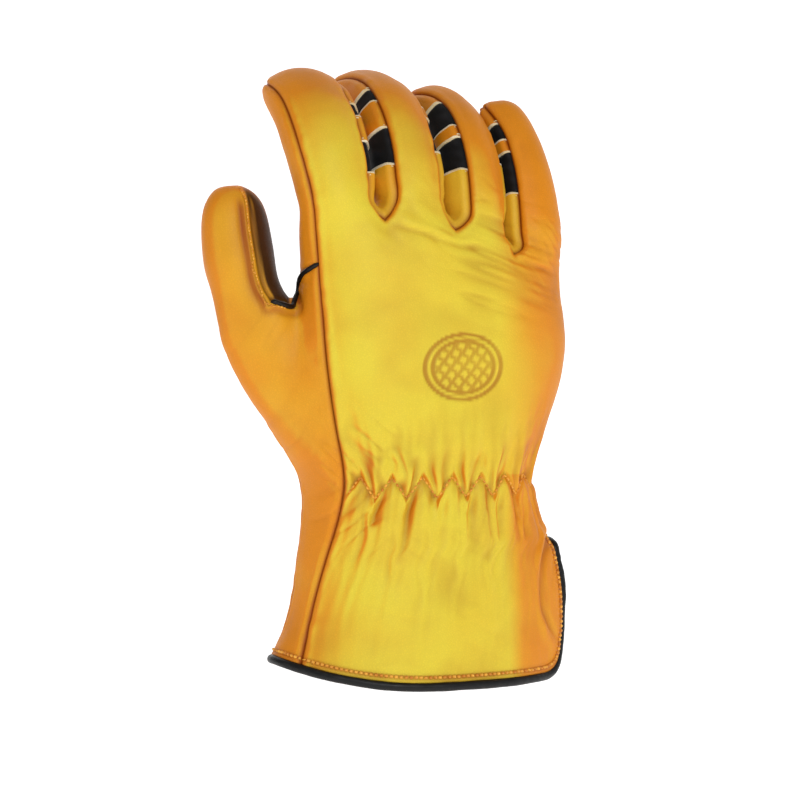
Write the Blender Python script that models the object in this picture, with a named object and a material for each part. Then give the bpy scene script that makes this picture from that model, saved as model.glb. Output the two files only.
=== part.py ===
# Leather driver glove for the right hand, filled as it is when worn, fingers up.
# +X points to the little finger's side, -Y out of the back of the hand, +Z along the fingers.
# The origin is the middle of the cuff's mouth, where the hand goes in.
# The leather is drawn first as one cage of named vertices. Each panel then takes its own
# faces of the cage, keeps clear of its neighbours along the seams, and is given its wall.
import math

import bpy
import numpy as np

MM = 0.001

# Lengths along the hand
CUFF_LENGTH = 68.5 * MM  # hem to the gathered wrist line
HAND_LENGTH = 92.5 * MM  # wrist line to the finger crotches
FINGER_LENGTH = 80 * MM  # middle finger from its crotch to its tip, along its middle line
THUMB_LENGTH = 49 * MM  # web to thumb tip, along its middle line

# Widths and depths
HAND_WIDTH = 100 * MM
HAND_DEPTH = 40 * MM
FINGER_DEPTH = 25 * MM
THUMB_WIDTH = 30 * MM
THUMB_DEPTH = 26 * MM

# Leather, seams and trims
WALL = 1.2 * MM
FABRIC_WALL = 0.9 * MM
FABRIC_RECESS = 0.3 * MM
SEAM_GAP = 0.4 * MM
MITRE = 1.5  # how much further a panel's sharp corner may draw back than its edges do
FINGER_CLEARANCE = 0.4 * MM  # from a finger's side to the middle of the gap beside it
TIP_SEAM_WIDTH = 11 * MM
THUMB_TIP_SEAM_WIDTH = 5 * MM
BINDING_RADIUS = 1.8 * MM
BINDING_CORNERS = 7
PIPING_RADIUS = 0.8 * MM
PIPING_CORNERS = 6

# Side vent in the cuff
VENT_LENGTH = 48 * MM
VENT_TOP_WIDTH = 10.5 * MM
VENT_HEM_WIDTH = 16 * MM
VENT_CORNER = 13 * MM  # how far the hem is rounded up to the vent
VENT_TO_BACK = 0.35  # how far the vent sits to the back, as a share of half its width
VENT_FLARE = 1.6 * MM  # how far the vent's back edge is turned out

# Gathers of the elasticated wrist on the back
GATHERS = 8
GATHER_DEPTH = 1.7 * MM
GATHER_REACH = 15 * MM
STITCH_RISE = 4 * MM  # half the height of the zigzag stitch line
WRIST_PULL = 1.3 * MM
HEM_RISE = 8.5 * MM  # how much higher the hem is cut at the thumb's side
HEM_BOW = 2.5  # 1 cuts the hem straight up to the thumb's side, and more keeps it level for longer

# Where the knuckle row runs, against a level row
KNUCKLE_SLOPE = 0.18
KNUCKLE_BOW = 0.45  # drop at half a hand's width from the middle, as a share of that width
PALM_RISE = 6 * MM  # the crotches sit this much further up on the palm side
THUMB_LEAN = 0.2

# Cage columns and rows
BACK_COLUMNS = GATHERS  # of each of the four fingers, so that each gather has four columns
SIDE_COLUMNS = 3
PALM_COLUMNS = 5
EDGE_COLUMNS = 2  # back seam to the web
INNER_COLUMNS = 2  # web to the thumb's inner seam
THUMB_BACK_COLUMNS = 4
THUMB_FRONT_COLUMNS = 4
WEB_COLUMNS = 2
WEB_START = EDGE_COLUMNS
THUMB_SEAM = WEB_START + INNER_COLUMNS
OUTER_SEAM = THUMB_SEAM + THUMB_BACK_COLUMNS
WEB_END = OUTER_SEAM + THUMB_FRONT_COLUMNS
RADIAL_COLUMNS = WEB_END + 1
HAND_RADIAL_COLUMNS = EDGE_COLUMNS + WEB_COLUMNS + 1

# Levels run from 0 at the hem over 1 at the wrist line to 2 at the finger crotches
VENT_ROWS = [0, 0.286, 0.571, 0.8, 0.929, 1]  # shares of the vent's length
WRIST_ROWS = [0.267, 0.533, 0.767, 1]  # shares of what is left up to the wrist line
HAND_LEVELS = [1.05, 1.11, 1.2, 1.34, 1.5, 1.67]
VENT_TOP = VENT_LENGTH / CUFF_LENGTH
VENT_TOP_ROW = len(VENT_ROWS) - 1
BODY_LEVELS = [VENT_TOP * share for share in VENT_ROWS]
BODY_LEVELS += [VENT_TOP + (1 - VENT_TOP) * share for share in WRIST_ROWS]
BODY_LEVELS += HAND_LEVELS
WEB_ROW = len(BODY_LEVELS) - 1
KNUCKLE_LEVELS = [1.76, 1.85, 1.93, 2]
LEVELS = BODY_LEVELS + KNUCKLE_LEVELS
PIPING_ROW = LEVELS.index(1.85)
TOP_ROW = len(LEVELS) - 1
VENT_COLUMNS = 4  # columns over which the vent's edge turns out
THUMB_FRONT_ROW = LEVELS.index(1.5)
FINGER_SHARES = [0, 0.04, 0.12, 0.2, 0.28, 0.36, 0.44, 0.52, 0.59, 0.68, 0.79, 0.89, 0.96, 1]
THUMB_SHARES = [0, 0.15, 0.28, 0.43, 0.59, 0.74, 0.86, 0.94, 0.985, 1]

# Sections of the hand without its thumb. x is a share of HAND_WIDTH, y of HAND_DEPTH, and
# power is 2 for an ellipse and more for a squarer section.
SECTION_COLUMNS = (
    "level", "ulnar_x", "ulnar_y", "back_y", "radial_x", "radial_y", "palm_y", "seam_x", "palm_seam_x",
    "power",
)
SECTIONS = [
    (0.00, 0.525, 0.00, -0.78, -0.545, 0.00, 0.76, -0.505, -0.46, 2.0),
    (0.30, 0.530, 0.00, -0.73, -0.480, 0.00, 0.72, -0.458, -0.44, 2.0),
    (0.60, 0.505, 0.00, -0.66, -0.455, 0.02, 0.67, -0.412, -0.40, 2.0),
    (0.90, 0.447, 0.00, -0.61, -0.440, 0.05, 0.62, -0.360, -0.36, 2.1),
    (1.00, 0.430, 0.00, -0.60, -0.440, 0.06, 0.60, -0.350, -0.35, 2.2),
    (1.25, 0.490, 0.06, -0.58, -0.455, 0.10, 0.62, -0.375, -0.34, 2.3),
    (1.50, 0.555, 0.12, -0.54, -0.460, 0.12, 0.60, -0.395, -0.33, 2.4),
    (1.70, 0.583, 0.16, -0.50, -0.460, 0.12, 0.50, -0.410, -0.34, 2.5),
    (1.85, 0.585, 0.18, -0.44, -0.458, 0.10, 0.42, -0.418, -0.35, 2.5),
    (2.00, 0.565, 0.20, -0.36, -0.455, 0.08, 0.36, -0.422, -0.37, 2.5),
]

# Outer edge of the thumb's root below the web, in the same shares
ROOT_COLUMNS = ("level", "x", "y", "power")
THUMB_ROOT = [
    (0.00, -0.560, 0.00, 1.6),
    (0.13, -0.520, 0.01, 1.6),
    (0.30, -0.490, 0.01, 1.6),
    (0.60, -0.460, 0.02, 1.6),
    (0.90, -0.437, 0.05, 1.6),
    (1.00, -0.440, 0.08, 1.6),
    (1.20, -0.540, 0.22, 1.7),
    (1.40, -0.650, 0.36, 1.8),
    (1.52, -0.715, 0.42, 1.9),
    (1.67, -0.765, 0.51, 2.0),
]

# The bottom of the web between thumb and index finger, on the back and on the palm side
WEB_X = -0.435
WEB_BACK_Y = 0.02
WEB_PALM_Y = 0.58
WEB_DENT = {WEB_ROW: 1.0, WEB_ROW - 1: 0.45, WEB_ROW - 2: 0.15}
WEB_SEAM_X = -0.57  # where the thumb's inner seam meets the web
WEB_SEAM_Y = -0.04
WEB_SEAM_RISE = 9 * MM
WEB_DROP = 5 * MM  # how much lower the web's bottom is on the back
PIPING_END = 2.4 * MM  # how far it stops short of the thumb's inner seam
PIPING_ROUNDS = 2  # of rounding the corners of its line
PIPING_SLOPE = 6 * MM  # how far the piping drops from the back's seam to the index's side

# Fingers. start_x and end_x are shares of HAND_WIDTH, length of FINGER_LENGTH and depth of
# FINGER_DEPTH. curl is how far the finger has turned towards the palm, in degrees, where
# it starts and at its tip. lean is to the side and roll about its own length. bulge is how
# much wider a finger is halfway along. The seams are the angles of the back's two seams,
# from the finger's sides towards its back.
FINGER_FIELDS = (
    "name", "start_x", "end_x", "length", "depth", "tip_width", "bulge", "curl_start", "curl_tip",
    "lean", "roll", "thumb_side_seam", "little_side_seam",
)
FINGERS = [
    ("index", -0.455, -0.180, 0.825, 1.00, 1.04, 0.19, 10, 78, -1.6, 2, 32, 47),
    ("middle", -0.180, 0.085, 1.03, 1.00, 0.84, 0.08, 12, 106, 6, 6, 47, 47),
    ("ring", 0.085, 0.320, 0.92, 0.98, 0.78, 0.12, 10, 92, 9.2, 11, 53, 40),
    ("little", 0.320, 0.565, 0.83, 0.88, 0.68, 0.04, 8, 54, 6.4, 17, 30, 0),
]
TIP_DEPTH = 0.78  # a fingertip's depth before its end rounds off, as a share of the finger's
CURL_POWER = 1.3  # 1 bends a digit evenly, and more bends it more towards its tip
CAP_SHARE = 0.15  # the length over which a tip rounds off
PALM_SEAM_ANGLE = 32  # of the palm's seams, from a finger's sides towards its front
ULNAR_SEAM_ANGLE = 0

# Thumb: middle line heights and turns along its length, and the columns' angles round it
THUMB_CURL_START, THUMB_CURL_TIP = 14, 10
THUMB_LEAN_START, THUMB_LEAN_TIP = -13, 4
THUMB_TIP_WIDTH = 0.8
THUMB_WEB_ANGLE = 12
THUMB_SEAM_ANGLE = 86
THUMB_OUTER_ANGLE = 218
THUMB_PALM_ANGLE = 332

# Pieces of the side walls in each gap between fingers, and the share of FINGER_SHARES where
# each ends, for the gaps from index and middle to ring and little finger
SIDE_PIECES = ("crotch", "lower_insert", "band", "upper_insert", "tip")
SIDE_ENDS = [
    (0.20, 0.36, 0.52, 0.59, 1),
    (0.28, 0.44, 0.52, 0.68, 1),
    (0.36, 0.59, 0.68, 0.79, 1),
]
CROTCH_WIDENING = 2.1 * MM  # how far the walls move apart just above a crotch
CROTCH_DROP = 1.2 * MM

# Colours as linear red, green and blue, with roughness
LEATHER = ((0.72, 0.36, 0.045), 0.5)
BLACK_FABRIC = ((0.012, 0.012, 0.013), 0.85)
BLACK_LEATHER = ((0.01, 0.01, 0.011), 0.4)


def table(rows, columns):
    """The rows of a table as one array for each named column."""
    return {name: np.array(values) for name, values in zip(columns, zip(*rows))}


def smooth(levels, values, level):
    """A smooth curve through a table's values, read at one level."""
    slopes = np.gradient(values, levels)
    i = int(np.clip(np.searchsorted(levels, level) - 1, 0, len(levels) - 2))
    span = levels[i + 1] - levels[i]
    t = (level - levels[i]) / span
    rise = values[i + 1] - values[i]
    bend = slopes[i] * span * (t - 2 * t**2 + t**3) + slopes[i + 1] * span * (t**3 - t**2)
    return values[i] + rise * (3 * t**2 - 2 * t**3) + bend


def ease(t):
    """0 before t is 0, 1 after t is 1, and smooth between."""
    t = np.clip(t, 0, 1)
    return t * t * (3 - 2 * t)


SECTION = table(SECTIONS, SECTION_COLUMNS)
ROOT = table(THUMB_ROOT, ROOT_COLUMNS)


def section_at(level):
    """The hand's section at a level, with its lengths in metres."""
    found = {c: smooth(SECTION["level"], SECTION[c], level) for c in SECTION_COLUMNS[1:]}
    for name in found:
        if name.endswith("_x"):
            found[name] *= HAND_WIDTH
        if name.endswith("_y"):
            found[name] *= HAND_DEPTH
    return found


def quarter(crown, side, power, count=40):
    """Points of a quarter of a superellipse from its crown to its side."""
    turn = np.linspace(0, math.pi / 2, count)
    x = crown[0] + (side[0] - crown[0]) * np.sin(turn) ** (2 / power)
    y = side[1] + (crown[1] - side[1]) * np.abs(np.cos(turn)) ** (2 / power)
    return np.stack([x, y], 1)


class Line:
    """A chain of points that can be read at any length along it."""

    def __init__(self, points):
        self.points = np.asarray(points)
        steps = np.linalg.norm(np.diff(self.points, axis=0), axis=1)
        self.along = np.concatenate([[0], np.cumsum(steps)])
        self.length = self.along[-1]

    def at(self, length):
        return np.stack([np.interp(length, self.along, c) for c in self.points.T], -1)

    def where_x(self, x):
        """The length at which a chain whose x only rises or only falls reaches x."""
        xs = self.points[:, 0]
        order = np.argsort(xs)
        return np.interp(x, xs[order], self.along[order])

    def spread(self, marks, columns):
        """Points evenly spaced between each two marks, with that many columns each."""
        lengths = [np.linspace(a, b, n + 1)[:-1] for a, b, n in zip(marks, marks[1:], columns)]
        return self.at(np.concatenate(lengths + [marks[-1:]]))


def crotch_xs():
    return [HAND_WIDTH * f[2] for f in FINGERS[:-1]]


def hem_lift(x, y, column_share):
    """How much higher than its lowest point the hem is cut. column_share is 1 at the vent."""
    to_thumb = min(1.0, max(0.0, -x / (0.56 * HAND_WIDTH))) ** HEM_BOW
    corner = 1 - math.sqrt(max(0.0, 1 - max(0.0, column_share) ** 2))
    on_palm = ease((y - 0.1 * HAND_DEPTH) / (0.7 * HAND_DEPTH))
    return HEM_RISE * max(to_thumb, 0.6 * on_palm) + VENT_CORNER * corner


def height(level, x, y, column_share=0.0):
    """The height of a cage vertex: level rows at the wrist that follow the knuckles further up."""
    if level <= 1:
        lift = hem_lift(x, y, column_share) * (1 - ease(level / 0.75))
        return CUFF_LENGTH * level + lift
    share = level - 1
    section = section_at(level)
    palmward = ease((y - section["back_y"]) / (section["palm_y"] - section["back_y"]))
    across = x / HAND_WIDTH
    row = HAND_LENGTH - HAND_WIDTH * (KNUCKLE_SLOPE * across + KNUCKLE_BOW * across**2)
    lean = THUMB_LEAN * min(0.0, x - WEB_X * HAND_WIDTH)
    return CUFF_LENGTH + share * (row + PALM_RISE * palmward) + lean * ease(share / 0.6)


def vent_half_width(row):
    if row >= VENT_TOP_ROW:
        return 0.0
    level = LEVELS[row]
    near_top = math.sqrt(1 - (1 - min(1.0, (VENT_TOP - level) / 0.1)) ** 2)
    width = VENT_TOP_WIDTH + (VENT_HEM_WIDTH - VENT_TOP_WIDTH) * (1 - level / VENT_TOP)
    return near_top * width / 2


class Cage:
    """Named vertices, and faces that each belong to a panel."""

    def __init__(self):
        self.points = []
        self.index = {}
        self.faces = []
        self.panels = []

    def add(self, key, point):
        self.index[key] = len(self.points)
        self.points.append(np.array(point, float))

    def same(self, key, other):
        """Gives a vertex that is there already a second name."""
        self.index[key] = self.index[other]

    def at(self, key):
        return self.points[self.index[key]]

    def face(self, panel, *keys):
        corners = []
        for key in keys:
            i = self.index[key]
            if i not in corners:
                corners.append(i)
        if len(corners) > 2:
            self.faces.append(corners)
            self.panels.append(panel)


def back_row(cage, row):
    """The vertices of one row across the back, from the index seam to the ulnar seam."""
    level = LEVELS[row]
    s = section_at(level)
    power = s["power"]
    radial = quarter((0, s["back_y"]), (s["radial_x"], s["radial_y"]), power)[::-1]
    ulnar = quarter((0, s["back_y"]), (s["ulnar_x"], s["ulnar_y"]), power)
    line = Line(np.concatenate([radial, ulnar[1:]]))
    start = line.where_x(s["seam_x"])
    end = line.length - vent_half_width(row) * (1 + VENT_TO_BACK)
    to_crotches = ease((level - 1) / 0.85)
    marks = [start]
    for k, x in enumerate(crotch_xs(), 1):
        even = start + (end - start) * k / len(FINGERS)
        marks.append(even + (line.where_x(x) - even) * to_crotches)
    marks.append(end)
    flat = line.spread(np.array(marks), [BACK_COLUMNS] * len(FINGERS))
    last = len(flat) - 1
    for u, (x, y) in enumerate(flat):
        to_vent = 1 - (last - u) * (end - start) / last / VENT_CORNER
        cage.add(("back", row, u), (x, y, height(level, x, y, to_vent)))


def palm_row(cage, row):
    """The vertices of one row across the palm, from the ulnar seam to the palm's thumb side."""
    level = LEVELS[row]
    s = section_at(level)
    power = s["power"]
    ulnar = quarter((0, s["palm_y"]), (s["ulnar_x"], s["ulnar_y"]), power)[::-1]
    radial = quarter((0, s["palm_y"]), (s["radial_x"], s["radial_y"]), power)
    line = Line(np.concatenate([ulnar, radial[1:]]))
    start = vent_half_width(row) * (1 - VENT_TO_BACK)
    half = Line(ulnar).length
    end = half + Line(radial).where_x(s["palm_seam_x"])
    to_crotches = ease((level - 1) / 0.85)
    marks = [start]
    for k, x in enumerate(crotch_xs()[::-1], 1):
        even = start + (end - start) * k / len(FINGERS)
        marks.append(even + (line.where_x(x) - even) * to_crotches)
    marks.append(end)
    flat = line.spread(np.array(marks), [PALM_COLUMNS] * len(FINGERS))
    last = len(flat) - 1
    for p, (x, y) in enumerate(flat):
        if p == 0 and row >= VENT_TOP_ROW:
            cage.same(("palm", row, 0), ("back", row, BACK_COLUMNS * len(FINGERS)))
            continue
        to_vent = 1 - p * (end - start) / last / VENT_CORNER
        cage.add(("palm", row, p), (x, y, height(level, x, y, to_vent)))


def root_row(cage, row):
    """One row round the thumb's root, from the index seam over the outside to the palm."""
    level = LEVELS[row]
    power = smooth(ROOT["level"], ROOT["power"], level)
    edge_x = HAND_WIDTH * smooth(ROOT["level"], ROOT["x"], level)
    edge_y = HAND_DEPTH * smooth(ROOT["level"], ROOT["y"], level)
    back = cage.at(("back", row, 0))[:2]
    palm = cage.at(("palm", row, PALM_COLUMNS * len(FINGERS)))[:2]
    outwards = quarter(back, (edge_x, edge_y), power)
    inwards = quarter(palm, (edge_x, edge_y), power)[::-1]
    line = Line(np.concatenate([outwards, inwards[1:]]))
    flat = line.spread(np.array([0, line.length]), [RADIAL_COLUMNS])
    web_back = np.array([HAND_WIDTH * WEB_X, HAND_DEPTH * WEB_BACK_Y])
    web_seam = np.array([HAND_WIDTH * WEB_SEAM_X, HAND_DEPTH * WEB_SEAM_Y])
    web_palm = np.array([HAND_WIDTH * WEB_X, HAND_DEPTH * WEB_PALM_Y])
    drawn = {WEB_START: web_back, WEB_END: web_palm, THUMB_SEAM: web_seam}
    for j in range(WEB_START + 1, THUMB_SEAM):
        drawn[j] = web_back + (web_seam - web_back) * (j - WEB_START) / INNER_COLUMNS
    dent = WEB_DENT.get(row, 0.0)
    cage.same(("root", row, 0), ("back", row, 0))
    cage.same(("root", row, RADIAL_COLUMNS), ("palm", row, PALM_COLUMNS * len(FINGERS)))
    for j in range(1, RADIAL_COLUMNS):
        x, y = flat[j] + (drawn.get(j, flat[j]) - flat[j]) * dent
        rise = 0.0
        if WEB_START <= j <= THUMB_SEAM:
            to_seam = (j - WEB_START) / INNER_COLUMNS
            rise = dent * (WEB_SEAM_RISE * to_seam - WEB_DROP * (1 - to_seam))
        cage.add(("root", row, j), (x, y, height(level, x, y) + rise))


def knuckle_side_row(cage, row):
    """One row round the index side of the hand above the web."""
    s = section_at(LEVELS[row])
    power = s["power"]
    side = (s["radial_x"], s["radial_y"])
    back = Line(quarter((0, s["back_y"]), side, power))
    palm = Line(quarter((0, s["palm_y"]), side, power))
    back_part = back.at(np.linspace(back.where_x(s["seam_x"]), back.length, 20))
    palm_part = palm.at(np.linspace(palm.length, palm.where_x(s["palm_seam_x"]), 20))
    line = Line(np.concatenate([back_part, palm_part[1:]]))
    flat = line.spread(np.array([0, line.length]), [HAND_RADIAL_COLUMNS])
    cage.same(("side", row, 0), ("back", row, 0))
    cage.same(("side", row, HAND_RADIAL_COLUMNS), ("palm", row, PALM_COLUMNS * len(FINGERS)))
    for k in range(1, HAND_RADIAL_COLUMNS):
        x, y = flat[k]
        cage.add(("side", row, k), (x, y, height(LEVELS[row], x, y)))


def web_line(cage):
    """The bottom of the web, which the hand's side and the thumb share."""
    start = cage.at(("root", WEB_ROW, WEB_START))
    end = cage.at(("root", WEB_ROW, WEB_END))
    for k in range(1, EDGE_COLUMNS + 1):
        cage.same(("side", WEB_ROW, k), ("root", WEB_ROW, k))
    for k in range(1, WEB_COLUMNS):
        point = start + (end - start) * k / WEB_COLUMNS
        cage.add(("side", WEB_ROW, EDGE_COLUMNS + k), point)
    cage.same(("side", WEB_ROW, EDGE_COLUMNS + WEB_COLUMNS), ("root", WEB_ROW, WEB_END))
    cage.same(("side", WEB_ROW, 0), ("root", WEB_ROW, 0))
    cage.same(("side", WEB_ROW, HAND_RADIAL_COLUMNS), ("root", WEB_ROW, RADIAL_COLUMNS))


def crotch_lines(cage):
    """The bottoms of the three gaps between fingers, from the back's slit to the palm's."""
    for gap in range(len(FINGERS) - 1):
        back = ("back", TOP_ROW, BACK_COLUMNS * (gap + 1))
        palm = ("palm", TOP_ROW, PALM_COLUMNS * (len(FINGERS) - 1 - gap))
        cage.same(("crotch", gap, 0), back)
        cage.same(("crotch", gap, SIDE_COLUMNS), palm)
        for k in range(1, SIDE_COLUMNS):
            share = k / SIDE_COLUMNS
            cage.add(("crotch", gap, k), cage.at(back) + (cage.at(palm) - cage.at(back)) * share)


def turned(vector, axis, degrees):
    """The vector turned about a unit axis by the right-hand rule."""
    turn = math.radians(degrees)
    along = axis * np.dot(axis, vector) * (1 - math.cos(turn))
    return vector * math.cos(turn) + np.cross(axis, vector) * math.sin(turn) + along


def middle_line(start, length, shares, curls, leans, roll):
    """For each share of a digit's length, its middle and its side, back and length directions."""
    steps = 60
    along = np.linspace(0, 1, steps + 1)
    stations = []
    point = np.array(start, float)
    for i, t in enumerate(along):
        side, back, ahead = np.array([1.0, 0, 0]), np.array([0, -1.0, 0]), np.array([0, 0, 1.0])
        side, back = turned(side, ahead, roll), turned(back, ahead, roll)
        lean = leans[0] + (leans[1] - leans[0]) * t
        depth_axis = np.array([0, 1.0, 0])
        side, back, ahead = (turned(v, depth_axis, lean) for v in (side, back, ahead))
        curl = curls[0] + (curls[1] - curls[0]) * t**CURL_POWER
        back, ahead = (turned(v, side, -curl) for v in (back, ahead))
        if i:
            point = point + ahead * length / steps
        stations.append(np.concatenate([point, side, back, ahead]))
    stations = np.array(stations)
    found = []
    for share in shares:
        values = [np.interp(share, along, stations[:, c]) for c in range(12)]
        found.append(np.array(values).reshape(4, 3))
    return found


def tip_rounding(share, tip_share):
    """How much of its width a digit still has, from 1 before the cap to 0 at the end."""
    into = np.clip((share - 1 + tip_share) / tip_share, 0, 1)
    return math.sqrt(max(0.0, 1 - into**2))


def ring_points(station, half_width, half_depth, angles):
    """The points of a digit's section at the given angles, 0 at its ulnar side and 90 at its back."""
    middle, side, back, _ = station
    turn = np.radians(angles)[:, None]
    return middle + side * half_width * np.cos(turn) + back * half_depth * np.sin(turn)


def finger_columns(f):
    """The panel names and column counts round finger f, from its radial back seam."""
    ulnar = SIDE_COLUMNS if f < len(FINGERS) - 1 else 0
    radial = SIDE_COLUMNS if f else HAND_RADIAL_COLUMNS
    return BACK_COLUMNS, ulnar, PALM_COLUMNS, radial


def finger_angles(f, share):
    """The angle of each column round finger f. Its seams close up towards the tip."""
    closing = 1 - 0.6 * ease((share - 0.7) / 0.25)
    finger = dict(zip(FINGER_FIELDS, FINGERS[f]))
    back = finger["little_side_seam"] * closing
    outer = finger["thumb_side_seam"] * closing
    palm = PALM_SEAM_ANGLE * closing
    n_back, n_ulnar, n_palm, n_radial = finger_columns(f)
    ulnar_back, ulnar_palm = (back, -palm) if n_ulnar else (ULNAR_SEAM_ANGLE, ULNAR_SEAM_ANGLE)
    marks = [180 - outer, ulnar_back, ulnar_palm, palm - 180, -180 - outer]
    counts = [n_back, n_ulnar, n_palm, n_radial]
    parts = [np.linspace(a, b, n, endpoint=False) for a, b, n in zip(marks, marks[1:], counts)]
    return np.concatenate(parts)


def base_ring(f):
    """The names of the cage vertices that finger f starts from, in column order."""
    n_back, n_ulnar, n_palm, n_radial = finger_columns(f)
    keys = [("back", TOP_ROW, n_back * f + k) for k in range(n_back)]
    keys += [("crotch", f, k) for k in range(n_ulnar)]
    first = PALM_COLUMNS * (len(FINGERS) - 1 - f)
    keys += [("palm", TOP_ROW, first + k) for k in range(n_palm)]
    if f:
        keys += [("crotch", f - 1, SIDE_COLUMNS - k) for k in range(n_radial)]
    else:
        keys += [("side", TOP_ROW, HAND_RADIAL_COLUMNS - k) for k in range(n_radial)]
    return keys


def add_finger(cage, f):
    """Rings of one finger from the crotch row to its tip seam, with their faces."""
    finger = dict(zip(FINGER_FIELDS, FINGERS[f]))
    name = finger["name"]
    keys = base_ring(f)
    base = np.array([cage.at(key) for key in keys])
    counts = finger_columns(f)
    seams = np.concatenate([[0], np.cumsum(counts)])
    total = seams[-1]
    start = (base.min(0) + base.max(0)) / 2
    start[2] = base[:, 2].mean()
    half_base = HAND_WIDTH * (finger["end_x"] - finger["start_x"]) / 2 - FINGER_CLEARANCE
    half_depth = FINGER_DEPTH * finger["depth"] / 2
    length = FINGER_LENGTH * finger["length"]
    stations = middle_line(
        start, length, FINGER_SHARES, (finger["curl_start"], finger["curl_tip"]),
        (finger["lean"], finger["lean"]), finger["roll"],
    )
    for c, key in enumerate(keys):
        cage.same((name, 0, c), key)
    for r, share in enumerate(FINGER_SHARES[1:], 1):
        cap = tip_rounding(share, CAP_SHARE)
        bulge = finger["bulge"] * math.sin(math.pi * share)
        width = half_base * (1 + (finger["tip_width"] - 1) * share + bulge)
        width = TIP_SEAM_WIDTH / 2 + (width - TIP_SEAM_WIDTH / 2) * cap
        depth = half_depth * (1 + (TIP_DEPTH - 1) * share) * cap
        if r == len(FINGER_SHARES) - 1:
            break
        ring = ring_points(stations[r], width, depth, finger_angles(f, share))
        for c, point in enumerate(ring):
            cage.add((name, r, c), point)
    middle, side = stations[-1][:2]
    n_seam = min(counts[0], counts[2])
    for k in range(n_seam + 1):
        offset = side * TIP_SEAM_WIDTH * (k / n_seam - 0.5)
        cage.add((name, "seam", k), middle + offset)
    last = len(FINGER_SHARES) - 2

    def column_panel(c, row):
        group = int(np.searchsorted(seams, c, side="right")) - 1
        if group == 0:
            return "back_panel"
        if group == 2 or (f == 0 and group == 3):
            return "palm_panel"
        if row == last:
            first = seams[group] if group == 1 else total - 1
            return "back_panel" if c == first else "palm_panel"
        gap = f if group == 1 else f - 1
        piece = next(p for p, end in zip(SIDE_PIECES, SIDE_ENDS[gap]) if FINGER_SHARES[row] < end)
        if piece == "crotch":
            return f"gusset_{gap + 1}_crotch"
        return f"gusset_{gap + 1}_{name}_{piece}"

    for r in range(last):
        for c in range(total):
            d = (c + 1) % total
            cage.face(column_panel(c, r), (name, r, c), (name, r, d), (name, r + 1, d), (name, r + 1, c))
    for c in range(total):
        group = int(np.searchsorted(seams, c, side="right")) - 1
        d = (c + 1) % total

        def seam_key(column):
            if column <= seams[1]:
                return (name, "seam", round(column * n_seam / counts[0]))
            if column <= seams[2]:
                return (name, "seam", n_seam)
            if column <= seams[3]:
                return (name, "seam", n_seam - round((column - seams[2]) * n_seam / counts[2]))
            return (name, "seam", 0)

        cage.face(column_panel(c, last), (name, last, c), (name, last, d), seam_key(c + 1), seam_key(c))


def thumb_angles():
    """The angle of each column round the thumb, from the web over its back to the palm side."""
    marks = [THUMB_WEB_ANGLE, THUMB_SEAM_ANGLE, THUMB_OUTER_ANGLE, THUMB_PALM_ANGLE, THUMB_WEB_ANGLE + 360]
    counts = [INNER_COLUMNS, THUMB_BACK_COLUMNS, THUMB_FRONT_COLUMNS, WEB_COLUMNS]
    parts = [np.linspace(a, b, n, endpoint=False) for a, b, n in zip(marks, marks[1:], counts)]
    return np.concatenate(parts)


def add_thumb(cage):
    """Rings of the thumb above the web, with their faces."""
    total = WEB_END - WEB_START + WEB_COLUMNS
    keys = [("root", WEB_ROW, WEB_START + c) for c in range(WEB_END - WEB_START + 1)]
    keys += [("side", WEB_ROW, EDGE_COLUMNS + WEB_COLUMNS - k) for k in range(1, WEB_COLUMNS)]
    base = np.array([cage.at(key) for key in keys])
    start = (base.min(0) + base.max(0)) / 2
    stations = middle_line(
        start, THUMB_LENGTH, THUMB_SHARES, (THUMB_CURL_START, THUMB_CURL_TIP),
        (THUMB_LEAN_START, THUMB_LEAN_TIP), 0,
    )
    for c, key in enumerate(keys):
        cage.same(("thumb", 0, c), key)
    last = len(THUMB_SHARES) - 2
    for r in range(1, last + 1):
        share = THUMB_SHARES[r]
        cap = tip_rounding(share, 1.6 * CAP_SHARE)
        width = THUMB_WIDTH / 2 * (1 + (THUMB_TIP_WIDTH - 1) * share)
        width = THUMB_TIP_SEAM_WIDTH / 2 + (width - THUMB_TIP_SEAM_WIDTH / 2) * cap
        depth = THUMB_DEPTH / 2 * (1 + (TIP_DEPTH - 1) * share) * cap
        for c, point in enumerate(ring_points(stations[r], width, depth, thumb_angles())):
            cage.add(("thumb", r, c), point)
    seam_turn = math.radians((THUMB_SEAM_ANGLE + THUMB_OUTER_ANGLE) / 2 + 90)
    middle, side, back, _ = stations[-1]
    across = side * math.cos(seam_turn) + back * math.sin(seam_turn)
    for k in range(THUMB_BACK_COLUMNS + 1):
        offset = across * THUMB_TIP_SEAM_WIDTH * (k / THUMB_BACK_COLUMNS - 0.5)
        cage.add(("thumb", "seam", k), middle + offset)

    def panel_of(c):
        return "thumb_panel" if INNER_COLUMNS <= c < INNER_COLUMNS + THUMB_BACK_COLUMNS else "thumb_front"

    def seam_key(column):
        start_front = INNER_COLUMNS + THUMB_BACK_COLUMNS
        if INNER_COLUMNS <= column <= start_front:
            return ("thumb", "seam", column - INNER_COLUMNS)
        front = total - THUMB_BACK_COLUMNS
        into = (column - start_front) % total
        return ("thumb", "seam", THUMB_BACK_COLUMNS - round(into * THUMB_BACK_COLUMNS / front))

    for r in range(last):
        for c in range(total):
            d = (c + 1) % total
            cage.face(panel_of(c), ("thumb", r, d), ("thumb", r, c), ("thumb", r + 1, c), ("thumb", r + 1, d))
    for c in range(total):
        d = (c + 1) % total
        cage.face(panel_of(c), ("thumb", last, d), ("thumb", last, c), seam_key(c), seam_key(c + 1))


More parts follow.
